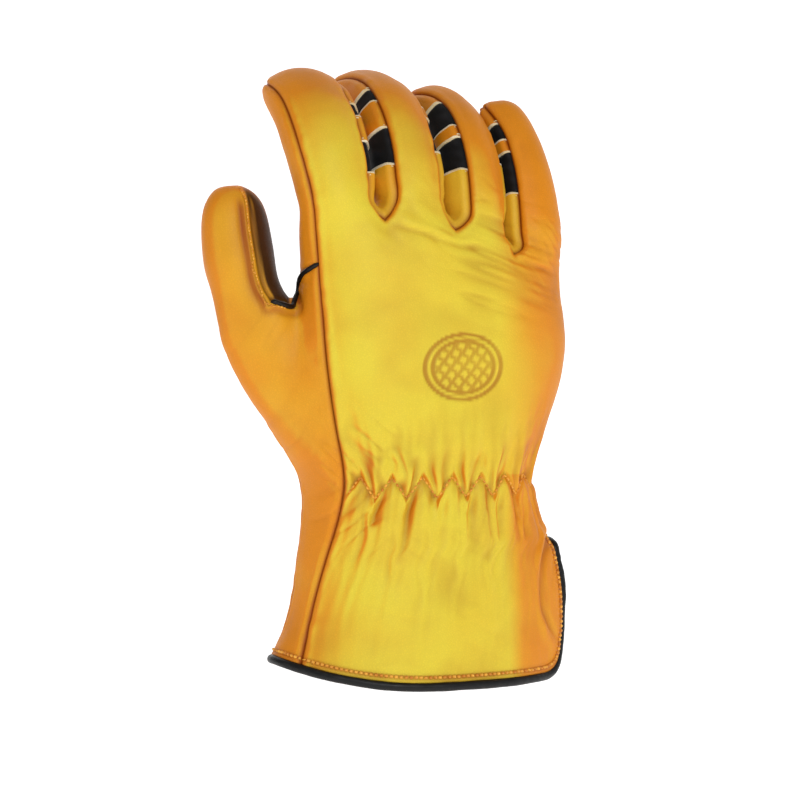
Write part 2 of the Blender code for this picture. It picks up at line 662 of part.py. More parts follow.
def add_body_faces(cage):
    """The faces of the cuff and the hand up to the crotch row. They face out."""
    n_back = BACK_COLUMNS * len(FINGERS)
    n_palm = PALM_COLUMNS * len(FINGERS)

    def strip(kind, row, column, panel):
        low, high = (kind, row, column), (kind, row, column + 1)
        cage.face(panel, low, high, (kind, row + 1, column + 1), (kind, row + 1, column))

    for row in range(TOP_ROW):
        for u in range(n_back):
            strip("back", row, u, "back_panel")
        for p in range(n_palm):
            strip("palm", row, p, "palm_panel")
    for row in range(WEB_ROW):
        for j in range(RADIAL_COLUMNS):
            panel = "palm_panel"
            if j < OUTER_SEAM:
                panel = "thumb_panel"
            elif j < WEB_END and row >= THUMB_FRONT_ROW:
                panel = "thumb_front"
            low, high = ("root", row, j), ("root", row, j + 1)
            cage.face(panel, high, low, ("root", row + 1, j), ("root", row + 1, j + 1))
    for row in range(WEB_ROW, TOP_ROW):
        for k in range(HAND_RADIAL_COLUMNS):
            panel = "thumb_panel" if k <= EDGE_COLUMNS and row < PIPING_ROW else "palm_panel"
            low, high = ("side", row, k), ("side", row, k + 1)
            cage.face(panel, high, low, ("side", row + 1, k), ("side", row + 1, k + 1))


def neighbours(cage):
    found = [set() for _ in cage.points]
    for face in cage.faces:
        for a, b in zip(face, face[1:] + face[:1]):
            found[a].add(b)
            found[b].add(a)
    return found


def relax(cage, keys, rounds, strength=0.5):
    """Rounds off the cage near the named vertices."""
    near = neighbours(cage)
    chosen = sorted({cage.index[key] for key in keys})
    for _ in range(rounds):
        moved = {}
        for i in chosen:
            mean = np.mean([cage.points[j] for j in near[i]], axis=0)
            moved[i] = cage.points[i] + (mean - cage.points[i]) * strength
        for i, point in moved.items():
            cage.points[i] = point


def normals_of(points, faces):
    """The outward direction at each vertex, weighted by the areas of its faces."""
    total = np.zeros_like(points)
    for face in faces:
        corners = points[face]
        middle = corners.mean(0)
        area = sum(np.cross(a - middle, b - middle) for a, b in zip(corners, np.roll(corners, -1, axis=0)))
        for i in face:
            total[i] += area
    lengths = np.linalg.norm(total, axis=1, keepdims=True)
    return total / np.maximum(lengths, 1e-12)


def smooth_piping(cage):
    """Slopes the piping's line down round the index's base and rounds its corners."""
    route = piping_route(cage)
    for k in range(EDGE_COLUMNS + 2):
        i = cage.index[("side", PIPING_ROW, k)]
        cage.points[i] = cage.points[i] - np.array([0, 0, PIPING_SLOPE * k / EDGE_COLUMNS])
    for _ in range(PIPING_ROUNDS):
        line = [cage.points[i] for i in route]
        for k in range(1, len(route) - 1):
            cage.points[route[k]] = (line[k - 1] + 2 * line[k] + line[k + 1]) / 4


def open_crotches(cage):
    """Drops the bottoms of the gaps and moves the walls just above them apart, into a U."""
    for gap in range(len(FINGERS) - 1):
        for k in range(SIDE_COLUMNS + 1):
            cage.points[cage.index[("crotch", gap, k)]][2] -= CROTCH_DROP
        for f, way in ((gap, -1), (gap + 1, 1)):
            n_back, n_ulnar, n_palm, n_radial = finger_columns(f)
            first = n_back if way < 0 else n_back + n_ulnar + n_palm
            count = n_ulnar if way < 0 else n_radial
            for c in range(first, first + count + 1):
                i = cage.index[(FINGERS[f][0], 1, c % (n_back + n_ulnar + n_palm + n_radial))]
                cage.points[i][0] += way * CROTCH_WIDENING


def gather_shift(level, column):
    """How far the gathered wrist pushes the back out or in at one column."""
    wave = math.cos(2 * math.pi * (column / 4 - 0.5))
    away = (level - 1) * (CUFF_LENGTH if level < 1 else HAND_LENGTH)
    stitch = STITCH_RISE * wave
    above = away - stitch
    fade = math.exp(-((abs(above) / GATHER_REACH) ** 1.5))
    ridge = -wave if above > 0 else wave
    pull = WRIST_PULL * math.exp(-((above / (1.6 * STITCH_RISE)) ** 2))
    return GATHER_DEPTH * ridge * fade - pull


def gather_wrist(cage):
    """Pushes the back panel out and in where the elastic gathers it."""
    points = np.array(cage.points)
    out = normals_of(points, cage.faces)
    n_back = BACK_COLUMNS * len(FINGERS)
    for row, level in enumerate(LEVELS):
        for u in range(1, n_back):
            edge = ease(min(u, n_back - u) / 2)
            i = cage.index[("back", row, u)]
            cage.points[i] = points[i] + out[i] * gather_shift(level, u) * edge
    for row in range(VENT_TOP_ROW + 1):
        for back in range(VENT_COLUMNS):
            i = cage.index[("back", row, n_back - back)]
            turned_out = 1 - ease(back / VENT_COLUMNS)
            down = ease((VENT_TOP + 0.05 - LEVELS[row]) / 0.12)
            cage.points[i] = cage.points[i] + out[i] * VENT_FLARE * turned_out * down


def make_cage():
    cage = Cage()
    for row in range(len(LEVELS)):
        back_row(cage, row)
        palm_row(cage, row)
        if row <= WEB_ROW:
            root_row(cage, row)
        else:
            knuckle_side_row(cage, row)
    web_line(cage)
    crotch_lines(cage)
    add_body_faces(cage)
    for f in range(len(FINGERS)):
        add_finger(cage, f)
    add_thumb(cage)
    near_crotches = [k for k in cage.index if k[0] in ("back", "palm", "side") and k[1] >= TOP_ROW - 1]
    near_crotches += [k for k in cage.index if k[0] == "crotch"]
    names = {f[0] for f in FINGERS}
    near_crotches += [k for k in cage.index if k[0] in names and k[1] == 1]
    near_web = [k for k in cage.index if k[0] in ("root", "side") and WEB_ROW - 3 <= k[1] <= WEB_ROW + 2]
    near_web += [("thumb", r, c) for r in (0, 1, 2) for c in range(12)]
    held = {cage.index[("root", WEB_ROW, j)] for j in range(WEB_START, THUMB_SEAM + 1)}
    near_web = [k for k in near_web if cage.index[k] not in held]
    relax(cage, near_crotches, 2)
    relax(cage, near_web, 4)
    open_crotches(cage)
    smooth_piping(cage)
    gather_wrist(cage)
    return cage


def edge_runs(faces):
    """The edges that only one of these faces has, as start to end in the faces' own turn."""
    edges = {(a, b) for face in faces for a, b in zip(face, face[1:] + face[:1])}
    return {a: b for a, b in edges if (b, a) not in edges}


def pulled_back(points, out, faces, gap_of):
    """The points with the rim of these faces drawn back from the seams by gap_of each edge."""
    after = edge_runs(faces)
    before = {b: a for a, b in after.items()}
    shift = {}
    for i, following in after.items():
        leading = before[i]
        inward = []
        for a, b in ((leading, i), (i, following)):
            side = np.cross(out[i], points[b] - points[a])
            inward.append(side / np.linalg.norm(side))
        gaps = gap_of(leading, i), gap_of(i, following)
        dot = float(np.clip(np.dot(*inward), -0.85, 0.999999))
        first = (gaps[0] - dot * gaps[1]) / (1 - dot * dot)
        second = (gaps[1] - dot * gaps[0]) / (1 - dot * dot)
        if dot > 0.98:
            first, second = gaps[0] / 2, gaps[1] / 2
        moved = inward[0] * first + inward[1] * second
        shift[i] = moved * min(1.0, MITRE * max(gaps) / np.linalg.norm(moved))
    return shift, after


def material(name, finish):
    colour, roughness = finish
    made = bpy.data.materials.get(name) or bpy.data.materials.new(name)
    made.use_nodes = True
    shader = made.node_tree.nodes["Principled BSDF"]
    shader.inputs["Base Color"].default_value = (*colour, 1)
    shader.inputs["Roughness"].default_value = roughness
    shader.inputs["Metallic"].default_value = 0
    return made


def place(name, points, faces, finish_name, finish):
    mesh = bpy.data.meshes.new(name)
    mesh.from_pydata([tuple(p) for p in points], [], faces)
    mesh.materials.append(material(finish_name, finish))
    mesh.shade_smooth()
    mesh.set_sharp_from_angle(angle=math.radians(50))
    made = bpy.data.objects.new(name, mesh)
    bpy.context.scene.collection.objects.link(made)
    return made


def add_panel(cage, out, name, gap_of):
    """One piece of leather or fabric, as a wall inside the cage's surface."""
    points = np.array(cage.points)
    faces = [f for f, panel in zip(cage.faces, cage.panels) if panel == name]
    shift, rim = pulled_back(points, out, faces, gap_of)
    is_fabric = name.endswith("insert")
    recess, wall = (FABRIC_RECESS, FABRIC_WALL) if is_fabric else (0.0, WALL)
    used = sorted({i for face in faces for i in face})
    number = {i: n for n, i in enumerate(used)}
    count = len(used)
    outer = np.array([points[i] + shift.get(i, 0) - out[i] * recess for i in used])
    inner = outer - wall * out[used]
    made = [[number[i] for i in face] for face in faces]
    made += [[number[i] + count for i in reversed(face)] for face in faces]
    made += [[number[b], number[a], number[a] + count, number[b] + count] for a, b in rim.items()]
    finish = ("black_fabric", BLACK_FABRIC) if is_fabric else ("leather", LEATHER)
    return place(name, np.concatenate([outer, inner]), made, *finish)


def add_bead(name, middles, sides, ups, radius, corners, closed):
    """A round bead through the middles, with sides and ups spanning its section."""
    turn = np.linspace(0, 2 * math.pi, corners, endpoint=False) + math.pi / corners
    points = []
    for middle, side, up in zip(middles, sides, ups):
        points += [middle + radius * (math.cos(a) * side + math.sin(a) * up) for a in turn]
    count = len(middles)
    faces = []
    for i in range(count if closed else count - 1):
        j = (i + 1) % count
        for k in range(corners):
            m = (k + 1) % corners
            faces.append([i * corners + m, i * corners + k, j * corners + k, j * corners + m])
    if not closed:
        faces.append(list(range(corners)))
        faces.append([(count - 1) * corners + k for k in range(corners)][::-1])
    return place(name, points, faces, "black_leather", BLACK_LEATHER)


def add_binding(cage, out):
    """The rolled edge that closes the hem and both sides of the vent, in one loop."""
    points = np.array(cage.points)
    after = edge_runs(cage.faces)
    before = {b: a for a, b in after.items()}
    start = cage.index[("back", 0, 0)]
    loop = [start]
    while after[loop[-1]] != start:
        loop.append(after[loop[-1]])
    middles, outward, ups = [], [], []
    for i in loop:
        normals = []
        for a, b in ((before[i], i), (i, after[i])):
            side = np.cross(points[b] - points[a], out[i])
            normals.append(side / np.linalg.norm(side))
        away = normals[0] + normals[1]
        away /= np.linalg.norm(away)
        reach = min(1.25, 1 / max(0.2, float(np.dot(away, normals[0]))))
        flat_radius = BINDING_RADIUS * math.cos(math.pi / BINDING_CORNERS)
        middles.append(points[i] + away * (flat_radius + SEAM_GAP) * reach - out[i] * WALL / 2)
        outward.append(away)
        ups.append(out[i])
    return add_bead("hem_binding", middles, outward, ups, BINDING_RADIUS, BINDING_CORNERS, True)


def piping_route(cage):
    """The cage vertices that the piping follows, from the index seam to the thumb's inner seam."""
    keys = [("side", PIPING_ROW, k) for k in range(EDGE_COLUMNS + 2)]
    keys += [("side", row, EDGE_COLUMNS + 1) for row in range(PIPING_ROW - 1, WEB_ROW - 1, -1)]
    keys += [("root", WEB_ROW, j) for j in range(WEB_START, THUMB_SEAM + 1)]
    return [cage.index[key] for key in keys]


def add_piping(cage, out):
    points = np.array(cage.points)
    route = piping_route(cage)
    line = points[route].copy()
    for end, inner, clear in ((0, 1, PIPING_RADIUS + SEAM_GAP), (-1, -2, PIPING_END)):
        step = line[inner] - line[end]
        line[end] += step / np.linalg.norm(step) * clear
    sides, ups = [], []
    for k, i in enumerate(route):
        ahead = line[min(k + 1, len(line) - 1)] - line[max(k - 1, 0)]
        side = np.cross(ahead, out[i])
        sides.append(side / np.linalg.norm(side))
        ups.append(out[i])
    middles = line - out[route] * (WALL / 2)
    return add_bead("web_piping", middles, sides, ups, PIPING_RADIUS, PIPING_CORNERS, False)


def clear_scene():
    for old in list(bpy.data.objects):
        bpy.data.objects.remove(old)


def main():
    clear_scene()
    cage = make_cage()
    out = normals_of(np.array(cage.points), cage.faces)
    route = piping_route(cage)
    piped = {frozenset(pair) for pair in zip(route, route[1:])}

    corners = {cage.index[("crotch", gap, k)] for gap in range(len(FINGERS) - 1) for k in (0, SIDE_COLUMNS)}

    def gap_of(a, b):
        if frozenset((a, b)) in piped:
            return PIPING_RADIUS + SEAM_GAP
        return 1.5 * SEAM_GAP if a in corners or b in corners else SEAM_GAP / 2

    for name in sorted(set(cage.panels)):
        add_panel(cage, out, name, gap_of)
    add_binding(cage, out)
    add_piping(cage, out)


main()
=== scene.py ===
# %% [markdown]
# # A leather driver glove
# This lesson dresses the plain solids of a glove with the leather, thread, fabric and edges that
# the real one has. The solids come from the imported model, which is loaded first and never
# changed. Each dressed piece takes the place of one solid, in the same frame and at the same size.

# %% Load the solids
import itertools
import math

import bpy
import numpy as np
from mathutils import Matrix, Vector
from mathutils.bvhtree import BVHTree
from mathutils.kdtree import KDTree


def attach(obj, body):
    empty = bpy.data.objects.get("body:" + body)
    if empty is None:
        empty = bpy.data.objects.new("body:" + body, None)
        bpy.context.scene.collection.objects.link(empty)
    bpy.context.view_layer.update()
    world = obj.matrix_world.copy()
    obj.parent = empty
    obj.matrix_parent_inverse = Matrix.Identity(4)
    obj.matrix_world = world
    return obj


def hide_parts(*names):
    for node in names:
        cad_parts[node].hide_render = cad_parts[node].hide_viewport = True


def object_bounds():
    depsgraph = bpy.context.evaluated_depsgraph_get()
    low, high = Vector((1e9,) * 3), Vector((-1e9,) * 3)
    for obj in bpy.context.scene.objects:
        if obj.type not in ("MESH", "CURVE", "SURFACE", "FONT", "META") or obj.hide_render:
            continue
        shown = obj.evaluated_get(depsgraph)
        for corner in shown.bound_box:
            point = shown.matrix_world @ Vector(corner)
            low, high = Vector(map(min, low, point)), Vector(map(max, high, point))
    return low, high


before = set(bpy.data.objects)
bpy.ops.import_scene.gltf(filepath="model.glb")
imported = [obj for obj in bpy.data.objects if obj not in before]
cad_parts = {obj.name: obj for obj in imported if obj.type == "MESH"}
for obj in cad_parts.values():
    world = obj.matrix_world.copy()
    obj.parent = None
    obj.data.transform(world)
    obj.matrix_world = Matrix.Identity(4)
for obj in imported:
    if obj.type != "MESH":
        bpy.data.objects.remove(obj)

MM = 0.001
cad_box = [list(corner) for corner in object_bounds()]
print("solids:", len(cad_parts), "box in mm:", [[round(v / MM) for v in c] for c in cad_box])

# %% [markdown]
# ## The camera
# The glove is seen from the back of the hand, a little from the thumb's side and almost level.
# A long lens from 1.2 m keeps the fingers and the cuff in proportion, as in a product photograph.
# The camera looks at a point near the middle of the glove, and no lens shift is needed.

# %% Camera
CAMERA_AZIMUTH = -22
CAMERA_ELEVATION = 3
CAMERA_DISTANCE = 1.2
VIEW_SPAN = 288 * MM  # what the square picture covers at the glove
VIEW_LEFT = 7.2 * MM  # how far the picture's middle lies left of the origin
VIEW_HEIGHT = 98.3 * MM


def direction(azimuth, elevation):
    """Unit vector from the glove towards a viewer or a lamp at these angles, in degrees."""
    turn, rise = math.radians(azimuth), math.radians(elevation)
    level = math.cos(rise)
    return Vector((math.sin(turn) * level, -math.cos(turn) * level, math.sin(rise)))


def aim(thing, place, target):
    """Puts a camera or lamp at a place, looking at the target with its top up."""
    turned_to = (place - target).to_track_quat("Z", "Y").to_matrix().to_4x4()
    thing.matrix_world = Matrix.Translation(place) @ turned_to


def linked(name, data):
    made = bpy.data.objects.new(name, data)
    bpy.context.scene.collection.objects.link(made)
    return made


to_camera = direction(CAMERA_AZIMUTH, CAMERA_ELEVATION)
to_right = Vector((0, 0, 1)).cross(to_camera).normalized()
target = Vector((0, 0, VIEW_HEIGHT)) - to_right * VIEW_LEFT
camera = linked("camera", bpy.data.cameras.new("camera"))
camera.data.clip_start = 0.05
camera.data.angle = 2 * math.atan(VIEW_SPAN / 2 / CAMERA_DISTANCE)
aim(camera, target + to_camera * CAMERA_DISTANCE, target)
bpy.context.scene.camera = camera
print("camera at", [round(v, 3) for v in camera.location])

# %% [markdown]
# ## Light and floor
# The photograph has soft studio light from the camera's side: the flat of the back is bright
# yellow, and the sides of the fingers and the hand turn to orange as they face away. One large
# softbox near the camera gives that fall-off. A weak one at each side and one behind keep the edges
# readable, and a pale world fills the rest. The floor is a plain pale sheet that rises into a
# backdrop. It lies a little below the hem, because the glove is held up as on a hand.

# %% Softboxes, world and floor
LAMPS = [  # name, azimuth and elevation in degrees, distance and size in metres, power in watts
    ("key_softbox", -8, 30, 1.1, 0.75, 5.15),
    ("left_softbox", -88, 12, 1.0, 0.55, 0.8),
    ("right_softbox", 70, 10, 1.0, 0.55, 0.8),
    ("back_softbox", 178, 35, 1.2, 0.9, 1.0),
]
WORLD_STRENGTH = 0.32
FLOOR_DROP = 30 * MM  # from the lowest leather to the floor
FLOOR_HALF = 2.2
BACKDROP_AT = 1.2
BACKDROP_RISE = 2.4
BACKDROP_BEND = 0.6


def add_lamp(name, azimuth, elevation, distance, size, power):
    data = bpy.data.lights.new(name, "AREA")
    data.shape = "DISK"
    data.size = size
    data.energy = power
    middle = Vector((0, 0, VIEW_HEIGHT))
    aim(linked(name, data), middle + direction(azimuth, elevation) * distance, middle)


def add_floor(lowest):
    """A sheet with its back bent up into a backdrop, turned to face the camera."""
    bend = [math.radians(a) for a in range(0, 91, 10)]
    side = [(-FLOOR_HALF, 0.0)] + [
        (BACKDROP_AT + BACKDROP_BEND * math.sin(a), BACKDROP_BEND * (1 - math.cos(a))) for a in bend
    ] + [(BACKDROP_AT + BACKDROP_BEND, BACKDROP_RISE)]
    points = [(x, y, z + lowest) for y, z in side for x in (-FLOOR_HALF, FLOOR_HALF)]
    faces = [(2 * i, 2 * i + 1, 2 * i + 3, 2 * i + 2) for i in range(len(side) - 1)]
    mesh = bpy.data.meshes.new("studio_floor")
    mesh.from_pydata(points, [], faces)
    mesh.shade_smooth()
    floor = linked("studio_floor", mesh)
    floor.rotation_euler = (0, 0, math.radians(CAMERA_AZIMUTH))
    return floor


for lamp in LAMPS:
    add_lamp(*lamp)
floor = add_floor(cad_box[0][2] - FLOOR_DROP)
world = bpy.data.worlds.new("studio")
bpy.context.scene.world = world
world.use_nodes = True
world.node_tree.nodes["Background"].inputs["Color"].default_value = (1, 1, 1, 1)
world.node_tree.nodes["Background"].inputs["Strength"].default_value = WORLD_STRENGTH
bpy.context.scene.view_settings.view_transform = "Standard"
print("lamps:", [lamp[0] for lamp in LAMPS])

# %% [markdown]
# ## The glove's form
# A driver glove is cut from a back, a palm, a two-piece thumb and the narrow walls between the
# fingers. Its form is drawn as one cage of named vertices in rows round the hand, the same
# sizes and tables as the solids have. A row is a superellipse from a table of sections, and a
# finger is a row of rings along a bent middle line.

# %% Sizes and tables of the form
# Lengths along the hand
CUFF_LENGTH = 68.5 * MM  # hem to the gathered wrist line
HAND_LENGTH = 92.5 * MM  # wrist line to the finger crotches
FINGER_LENGTH = 80 * MM  # middle finger from its crotch to its tip, along its middle line
THUMB_LENGTH = 49 * MM  # web to thumb tip, along its middle line

# Widths and depths
HAND_WIDTH = 100 * MM
HAND_DEPTH = 40 * MM
FINGER_DEPTH = 25 * MM
THUMB_WIDTH = 30 * MM
THUMB_DEPTH = 26 * MM

# Leather, seams and trims
WALL = 1.2 * MM
FABRIC_WALL = 0.9 * MM
FINGER_CLEARANCE = 0.4 * MM  # from a finger's side to the middle of the gap beside it
TIP_SEAM_WIDTH = 11 * MM
THUMB_TIP_SEAM_WIDTH = 5 * MM

# Side vent in the cuff
VENT_LENGTH = 48 * MM
VENT_TOP_WIDTH = 10.5 * MM
VENT_HEM_WIDTH = 16 * MM
VENT_CORNER = 13 * MM  # how far the hem is rounded up to the vent
VENT_TO_BACK = 0.35  # how far the vent sits to the back, as a share of half its width
VENT_FLARE = 1.6 * MM  # how far the vent's back edge is turned out

# Gathers of the elasticated wrist on the back
GATHERS = 8
GATHER_DEPTH = 1.7 * MM
GATHER_REACH = 15 * MM
STITCH_RISE = 4 * MM  # half the height of the zigzag stitch line
WRIST_PULL = 1.3 * MM
HEM_RISE = 8.5 * MM  # how much higher the hem is cut at the thumb's side
HEM_BOW = 2.5  # 1 cuts the hem straight up to the thumb's side, and more keeps it level for longer

# Where the knuckle row runs, against a level row
KNUCKLE_SLOPE = 0.18
KNUCKLE_BOW = 0.45  # drop at half a hand's width from the middle, as a share of that width
PALM_RISE = 6 * MM  # the crotches sit this much further up on the palm side
THUMB_LEAN = 0.2

# %% [markdown]
# ## Columns and rows
# The cage has a fixed number of columns for each stretch between two seams, and a row wherever
# the form bends. Four columns for each gather let the wrist wave in and out between them. Rows lie
# close together at the vent, at the gathered wrist and below the fingers.

# %% Columns and rows of the cage
BACK_COLUMNS = GATHERS  # of each of the four fingers, so that each gather has four columns
SIDE_COLUMNS = 3
PALM_COLUMNS = 5
EDGE_COLUMNS = 2  # back seam to the web
INNER_COLUMNS = 2  # web to the thumb's inner seam
THUMB_BACK_COLUMNS = 4
THUMB_FRONT_COLUMNS = 4
WEB_COLUMNS = 2
WEB_START = EDGE_COLUMNS
THUMB_SEAM = WEB_START + INNER_COLUMNS
OUTER_SEAM = THUMB_SEAM + THUMB_BACK_COLUMNS
WEB_END = OUTER_SEAM + THUMB_FRONT_COLUMNS
RADIAL_COLUMNS = WEB_END + 1
HAND_RADIAL_COLUMNS = EDGE_COLUMNS + WEB_COLUMNS + 1

# Levels run from 0 at the hem over 1 at the wrist line to 2 at the finger crotches
VENT_ROWS = [0, 0.286, 0.571, 0.8, 0.929, 1]  # shares of the vent's length
WRIST_ROWS = [0.267, 0.533, 0.767, 1]  # shares of what is left up to the wrist line
HAND_LEVELS = [1.05, 1.11, 1.2, 1.34, 1.5, 1.67]
VENT_TOP = VENT_LENGTH / CUFF_LENGTH
VENT_TOP_ROW = len(VENT_ROWS) - 1
BODY_LEVELS = [VENT_TOP * share for share in VENT_ROWS]
BODY_LEVELS += [VENT_TOP + (1 - VENT_TOP) * share for share in WRIST_ROWS]
BODY_LEVELS += HAND_LEVELS
WEB_ROW = len(BODY_LEVELS) - 1
KNUCKLE_LEVELS = [1.76, 1.85, 1.93, 2]
LEVELS = BODY_LEVELS + KNUCKLE_LEVELS
PIPING_ROW = LEVELS.index(1.85)
TOP_ROW = len(LEVELS) - 1
VENT_COLUMNS = 4  # columns over which the vent's edge turns out
THUMB_FRONT_ROW = LEVELS.index(1.5)
FINGER_SHARES = [0, 0.04, 0.12, 0.2, 0.28, 0.36, 0.44, 0.52, 0.59, 0.68, 0.79, 0.89, 0.96, 1]
THUMB_SHARES = [0, 0.15, 0.28, 0.43, 0.59, 0.74, 0.86, 0.94, 0.985, 1]

print(len(LEVELS), "rows from the hem to the fingers")

# %% [markdown]
# ## Sections of the hand
# A worn glove is an oval at the wrist that gets wider and flatter towards the knuckles. A table of
# sections gives its crown, sides and seams at ten levels, and a smooth curve is read between them.
# Shares of the named sizes keep the form in proportion when a size is changed.

# %% Sections of the hand and of the thumb's root
# Sections of the hand without its thumb. x is a share of HAND_WIDTH, y of HAND_DEPTH, and
# power is 2 for an ellipse and more for a squarer section.
SECTION_COLUMNS = (
    "level", "ulnar_x", "ulnar_y", "back_y", "radial_x", "radial_y", "palm_y", "seam_x",
    "palm_seam_x", "power",
)
SECTIONS = [
    (0.00, 0.525, 0.00, -0.78, -0.545, 0.00, 0.76, -0.505, -0.46, 2.0),
    (0.30, 0.530, 0.00, -0.73, -0.480, 0.00, 0.72, -0.458, -0.44, 2.0),
    (0.60, 0.505, 0.00, -0.66, -0.455, 0.02, 0.67, -0.412, -0.40, 2.0),
    (0.90, 0.447, 0.00, -0.61, -0.440, 0.05, 0.62, -0.360, -0.36, 2.1),
    (1.00, 0.430, 0.00, -0.60, -0.440, 0.06, 0.60, -0.350, -0.35, 2.2),
    (1.25, 0.490, 0.06, -0.58, -0.455, 0.10, 0.62, -0.375, -0.34, 2.3),
    (1.50, 0.555, 0.12, -0.54, -0.460, 0.12, 0.60, -0.395, -0.33, 2.4),
    (1.70, 0.583, 0.16, -0.50, -0.460, 0.12, 0.50, -0.410, -0.34, 2.5),
    (1.85, 0.585, 0.18, -0.44, -0.458, 0.10, 0.42, -0.418, -0.35, 2.5),
    (2.00, 0.565, 0.20, -0.36, -0.455, 0.08, 0.36, -0.422, -0.37, 2.5),
]

# Outer edge of the thumb's root below the web, in the same shares
ROOT_COLUMNS = ("level", "x", "y", "power")
THUMB_ROOT = [
    (0.00, -0.560, 0.00, 1.6),
    (0.13, -0.520, 0.01, 1.6),
    (0.30, -0.490, 0.01, 1.6),
    (0.60, -0.460, 0.02, 1.6),
    (0.90, -0.437, 0.05, 1.6),
    (1.00, -0.440, 0.08, 1.6),
    (1.20, -0.540, 0.22, 1.7),
    (1.40, -0.650, 0.36, 1.8),
    (1.52, -0.715, 0.42, 1.9),
    (1.67, -0.765, 0.51, 2.0),
]

print(len(SECTIONS), "sections of the hand,", len(THUMB_ROOT), "of the thumb's root")

# %% [markdown]
# ## The web
# The web is the low saddle between the thumb and the index finger. The rows of the thumb's root are
# drawn in to it step by step, and the piping runs along its bottom.

# %% The web between thumb and index finger
WEB_X = -0.435
WEB_BACK_Y = 0.02
WEB_PALM_Y = 0.58
WEB_DENT = {WEB_ROW: 1.0, WEB_ROW - 1: 0.45, WEB_ROW - 2: 0.15}
WEB_SEAM_X = -0.57  # where the thumb's inner seam meets the web
WEB_SEAM_Y = -0.04
WEB_SEAM_RISE = 9 * MM
WEB_DROP = 5 * MM  # how much lower the web's bottom is on the back
PIPING_ROUNDS = 2  # of rounding the corners of its line
PIPING_SLOPE = 6 * MM  # how far the piping drops from the back's seam to the index's side

print("web at", round(WEB_X * HAND_WIDTH / MM), "mm from the middle")

# %% [markdown]
# ## Fingers and thumb
# Each finger is a row of the table: where it starts and ends across the hand, how long and deep it
# is, and how it curls, leans and rolls. In a worn glove a finger bends more towards its tip, so the
# curl grows along its length.

# %% Fingers and thumb
# start_x and end_x are shares of HAND_WIDTH, length of FINGER_LENGTH and depth of
# FINGER_DEPTH. curl is how far the finger has turned towards the palm, in degrees, where
# it starts and at its tip. lean is to the side and roll about its own length. bulge is how
# much wider a finger is halfway along. The seams are the angles of the back's two seams,
# from the finger's sides towards its back.
FINGER_FIELDS = (
    "name", "start_x", "end_x", "length", "depth", "tip_width", "bulge", "curl_start", "curl_tip",
    "lean", "roll", "thumb_side_seam", "little_side_seam",
)
FINGERS = [
    ("index", -0.455, -0.180, 0.825, 1.00, 1.04, 0.19, 10, 78, -1.6, 2, 32, 47),
    ("middle", -0.180, 0.085, 1.03, 1.00, 0.84, 0.08, 12, 106, 6, 6, 47, 47),
    ("ring", 0.085, 0.320, 0.92, 0.98, 0.78, 0.12, 10, 92, 9.2, 11, 53, 40),
    ("little", 0.320, 0.565, 0.83, 0.88, 0.68, 0.04, 8, 54, 6.4, 17, 30, 0),
]
TIP_DEPTH = 0.78  # a fingertip's depth before its end rounds off, as a share of the finger's
CURL_POWER = 1.3  # 1 bends a digit evenly, and more bends it more towards its tip
CAP_SHARE = 0.15  # the length over which a tip rounds off
PALM_SEAM_ANGLE = 32  # of the palm's seams, from a finger's sides towards its front
ULNAR_SEAM_ANGLE = 0

# Thumb: middle line heights and turns along its length, and the columns' angles round it
THUMB_CURL_START, THUMB_CURL_TIP = 14, 10
THUMB_LEAN_START, THUMB_LEAN_TIP = -13, 4
THUMB_TIP_WIDTH = 0.8
THUMB_WEB_ANGLE = 12
THUMB_SEAM_ANGLE = 86
THUMB_OUTER_ANGLE = 218
THUMB_PALM_ANGLE = 332

print(len(FINGERS), "fingers, the middle one", FINGER_LENGTH / MM, "mm long")

# %% [markdown]
# ## Side walls
# Between two fingers a driver glove has narrow walls, pieced from leather and black fabric. The
# table says where each piece ends along the finger.

# %% Side walls between the fingers
# Pieces of the side walls in each gap between fingers, and the share of FINGER_SHARES where
# each ends, for the gaps from index and middle to ring and little finger
SIDE_PIECES = ("crotch", "lower_insert", "band", "upper_insert", "tip")
SIDE_ENDS = [
    (0.20, 0.36, 0.52, 0.59, 1),
    (0.28, 0.44, 0.52, 0.68, 1),
    (0.36, 0.59, 0.68, 0.79, 1),
]
CROTCH_WIDENING = 2.1 * MM  # how far the walls move apart just above a crotch
CROTCH_DROP = 1.2 * MM

print(len(SIDE_ENDS) * (2 * len(SIDE_PIECES) - 1), "side wall pieces")

# %% [markdown]
# ## Reading the tables
# Three small tools read the tables: a smooth curve through a column, a quarter of a superellipse,
# which goes from an ellipse to a box as its power grows, and a chain of points that is walked by
# its length, to space the columns evenly.

# %% Reading the tables
def table(rows, columns):
    """The rows of a table as one array for each named column."""
    return {name: np.array(values) for name, values in zip(columns, zip(*rows))}


def smooth(levels, values, level):
    """A smooth curve through a table's values, read at one level."""
    slopes = np.gradient(values, levels)
    i = int(np.clip(np.searchsorted(levels, level) - 1, 0, len(levels) - 2))
    span = levels[i + 1] - levels[i]
    t = (level - levels[i]) / span
    rise = values[i + 1] - values[i]
    bend = slopes[i] * span * (t - 2 * t**2 + t**3) + slopes[i + 1] * span * (t**3 - t**2)
    return values[i] + rise * (3 * t**2 - 2 * t**3) + bend


def ease(t):
    """0 before t is 0, 1 after t is 1, and smooth between."""
    t = np.clip(t, 0, 1)
    return t * t * (3 - 2 * t)


SECTION = table(SECTIONS, SECTION_COLUMNS)
ROOT = table(THUMB_ROOT, ROOT_COLUMNS)


def section_at(level):
    """The hand's section at a level, with its lengths in metres."""
    found = {c: smooth(SECTION["level"], SECTION[c], level) for c in SECTION_COLUMNS[1:]}
    for name in found:
        if name.endswith("_x"):
            found[name] *= HAND_WIDTH
        if name.endswith("_y"):
            found[name] *= HAND_DEPTH
    return found


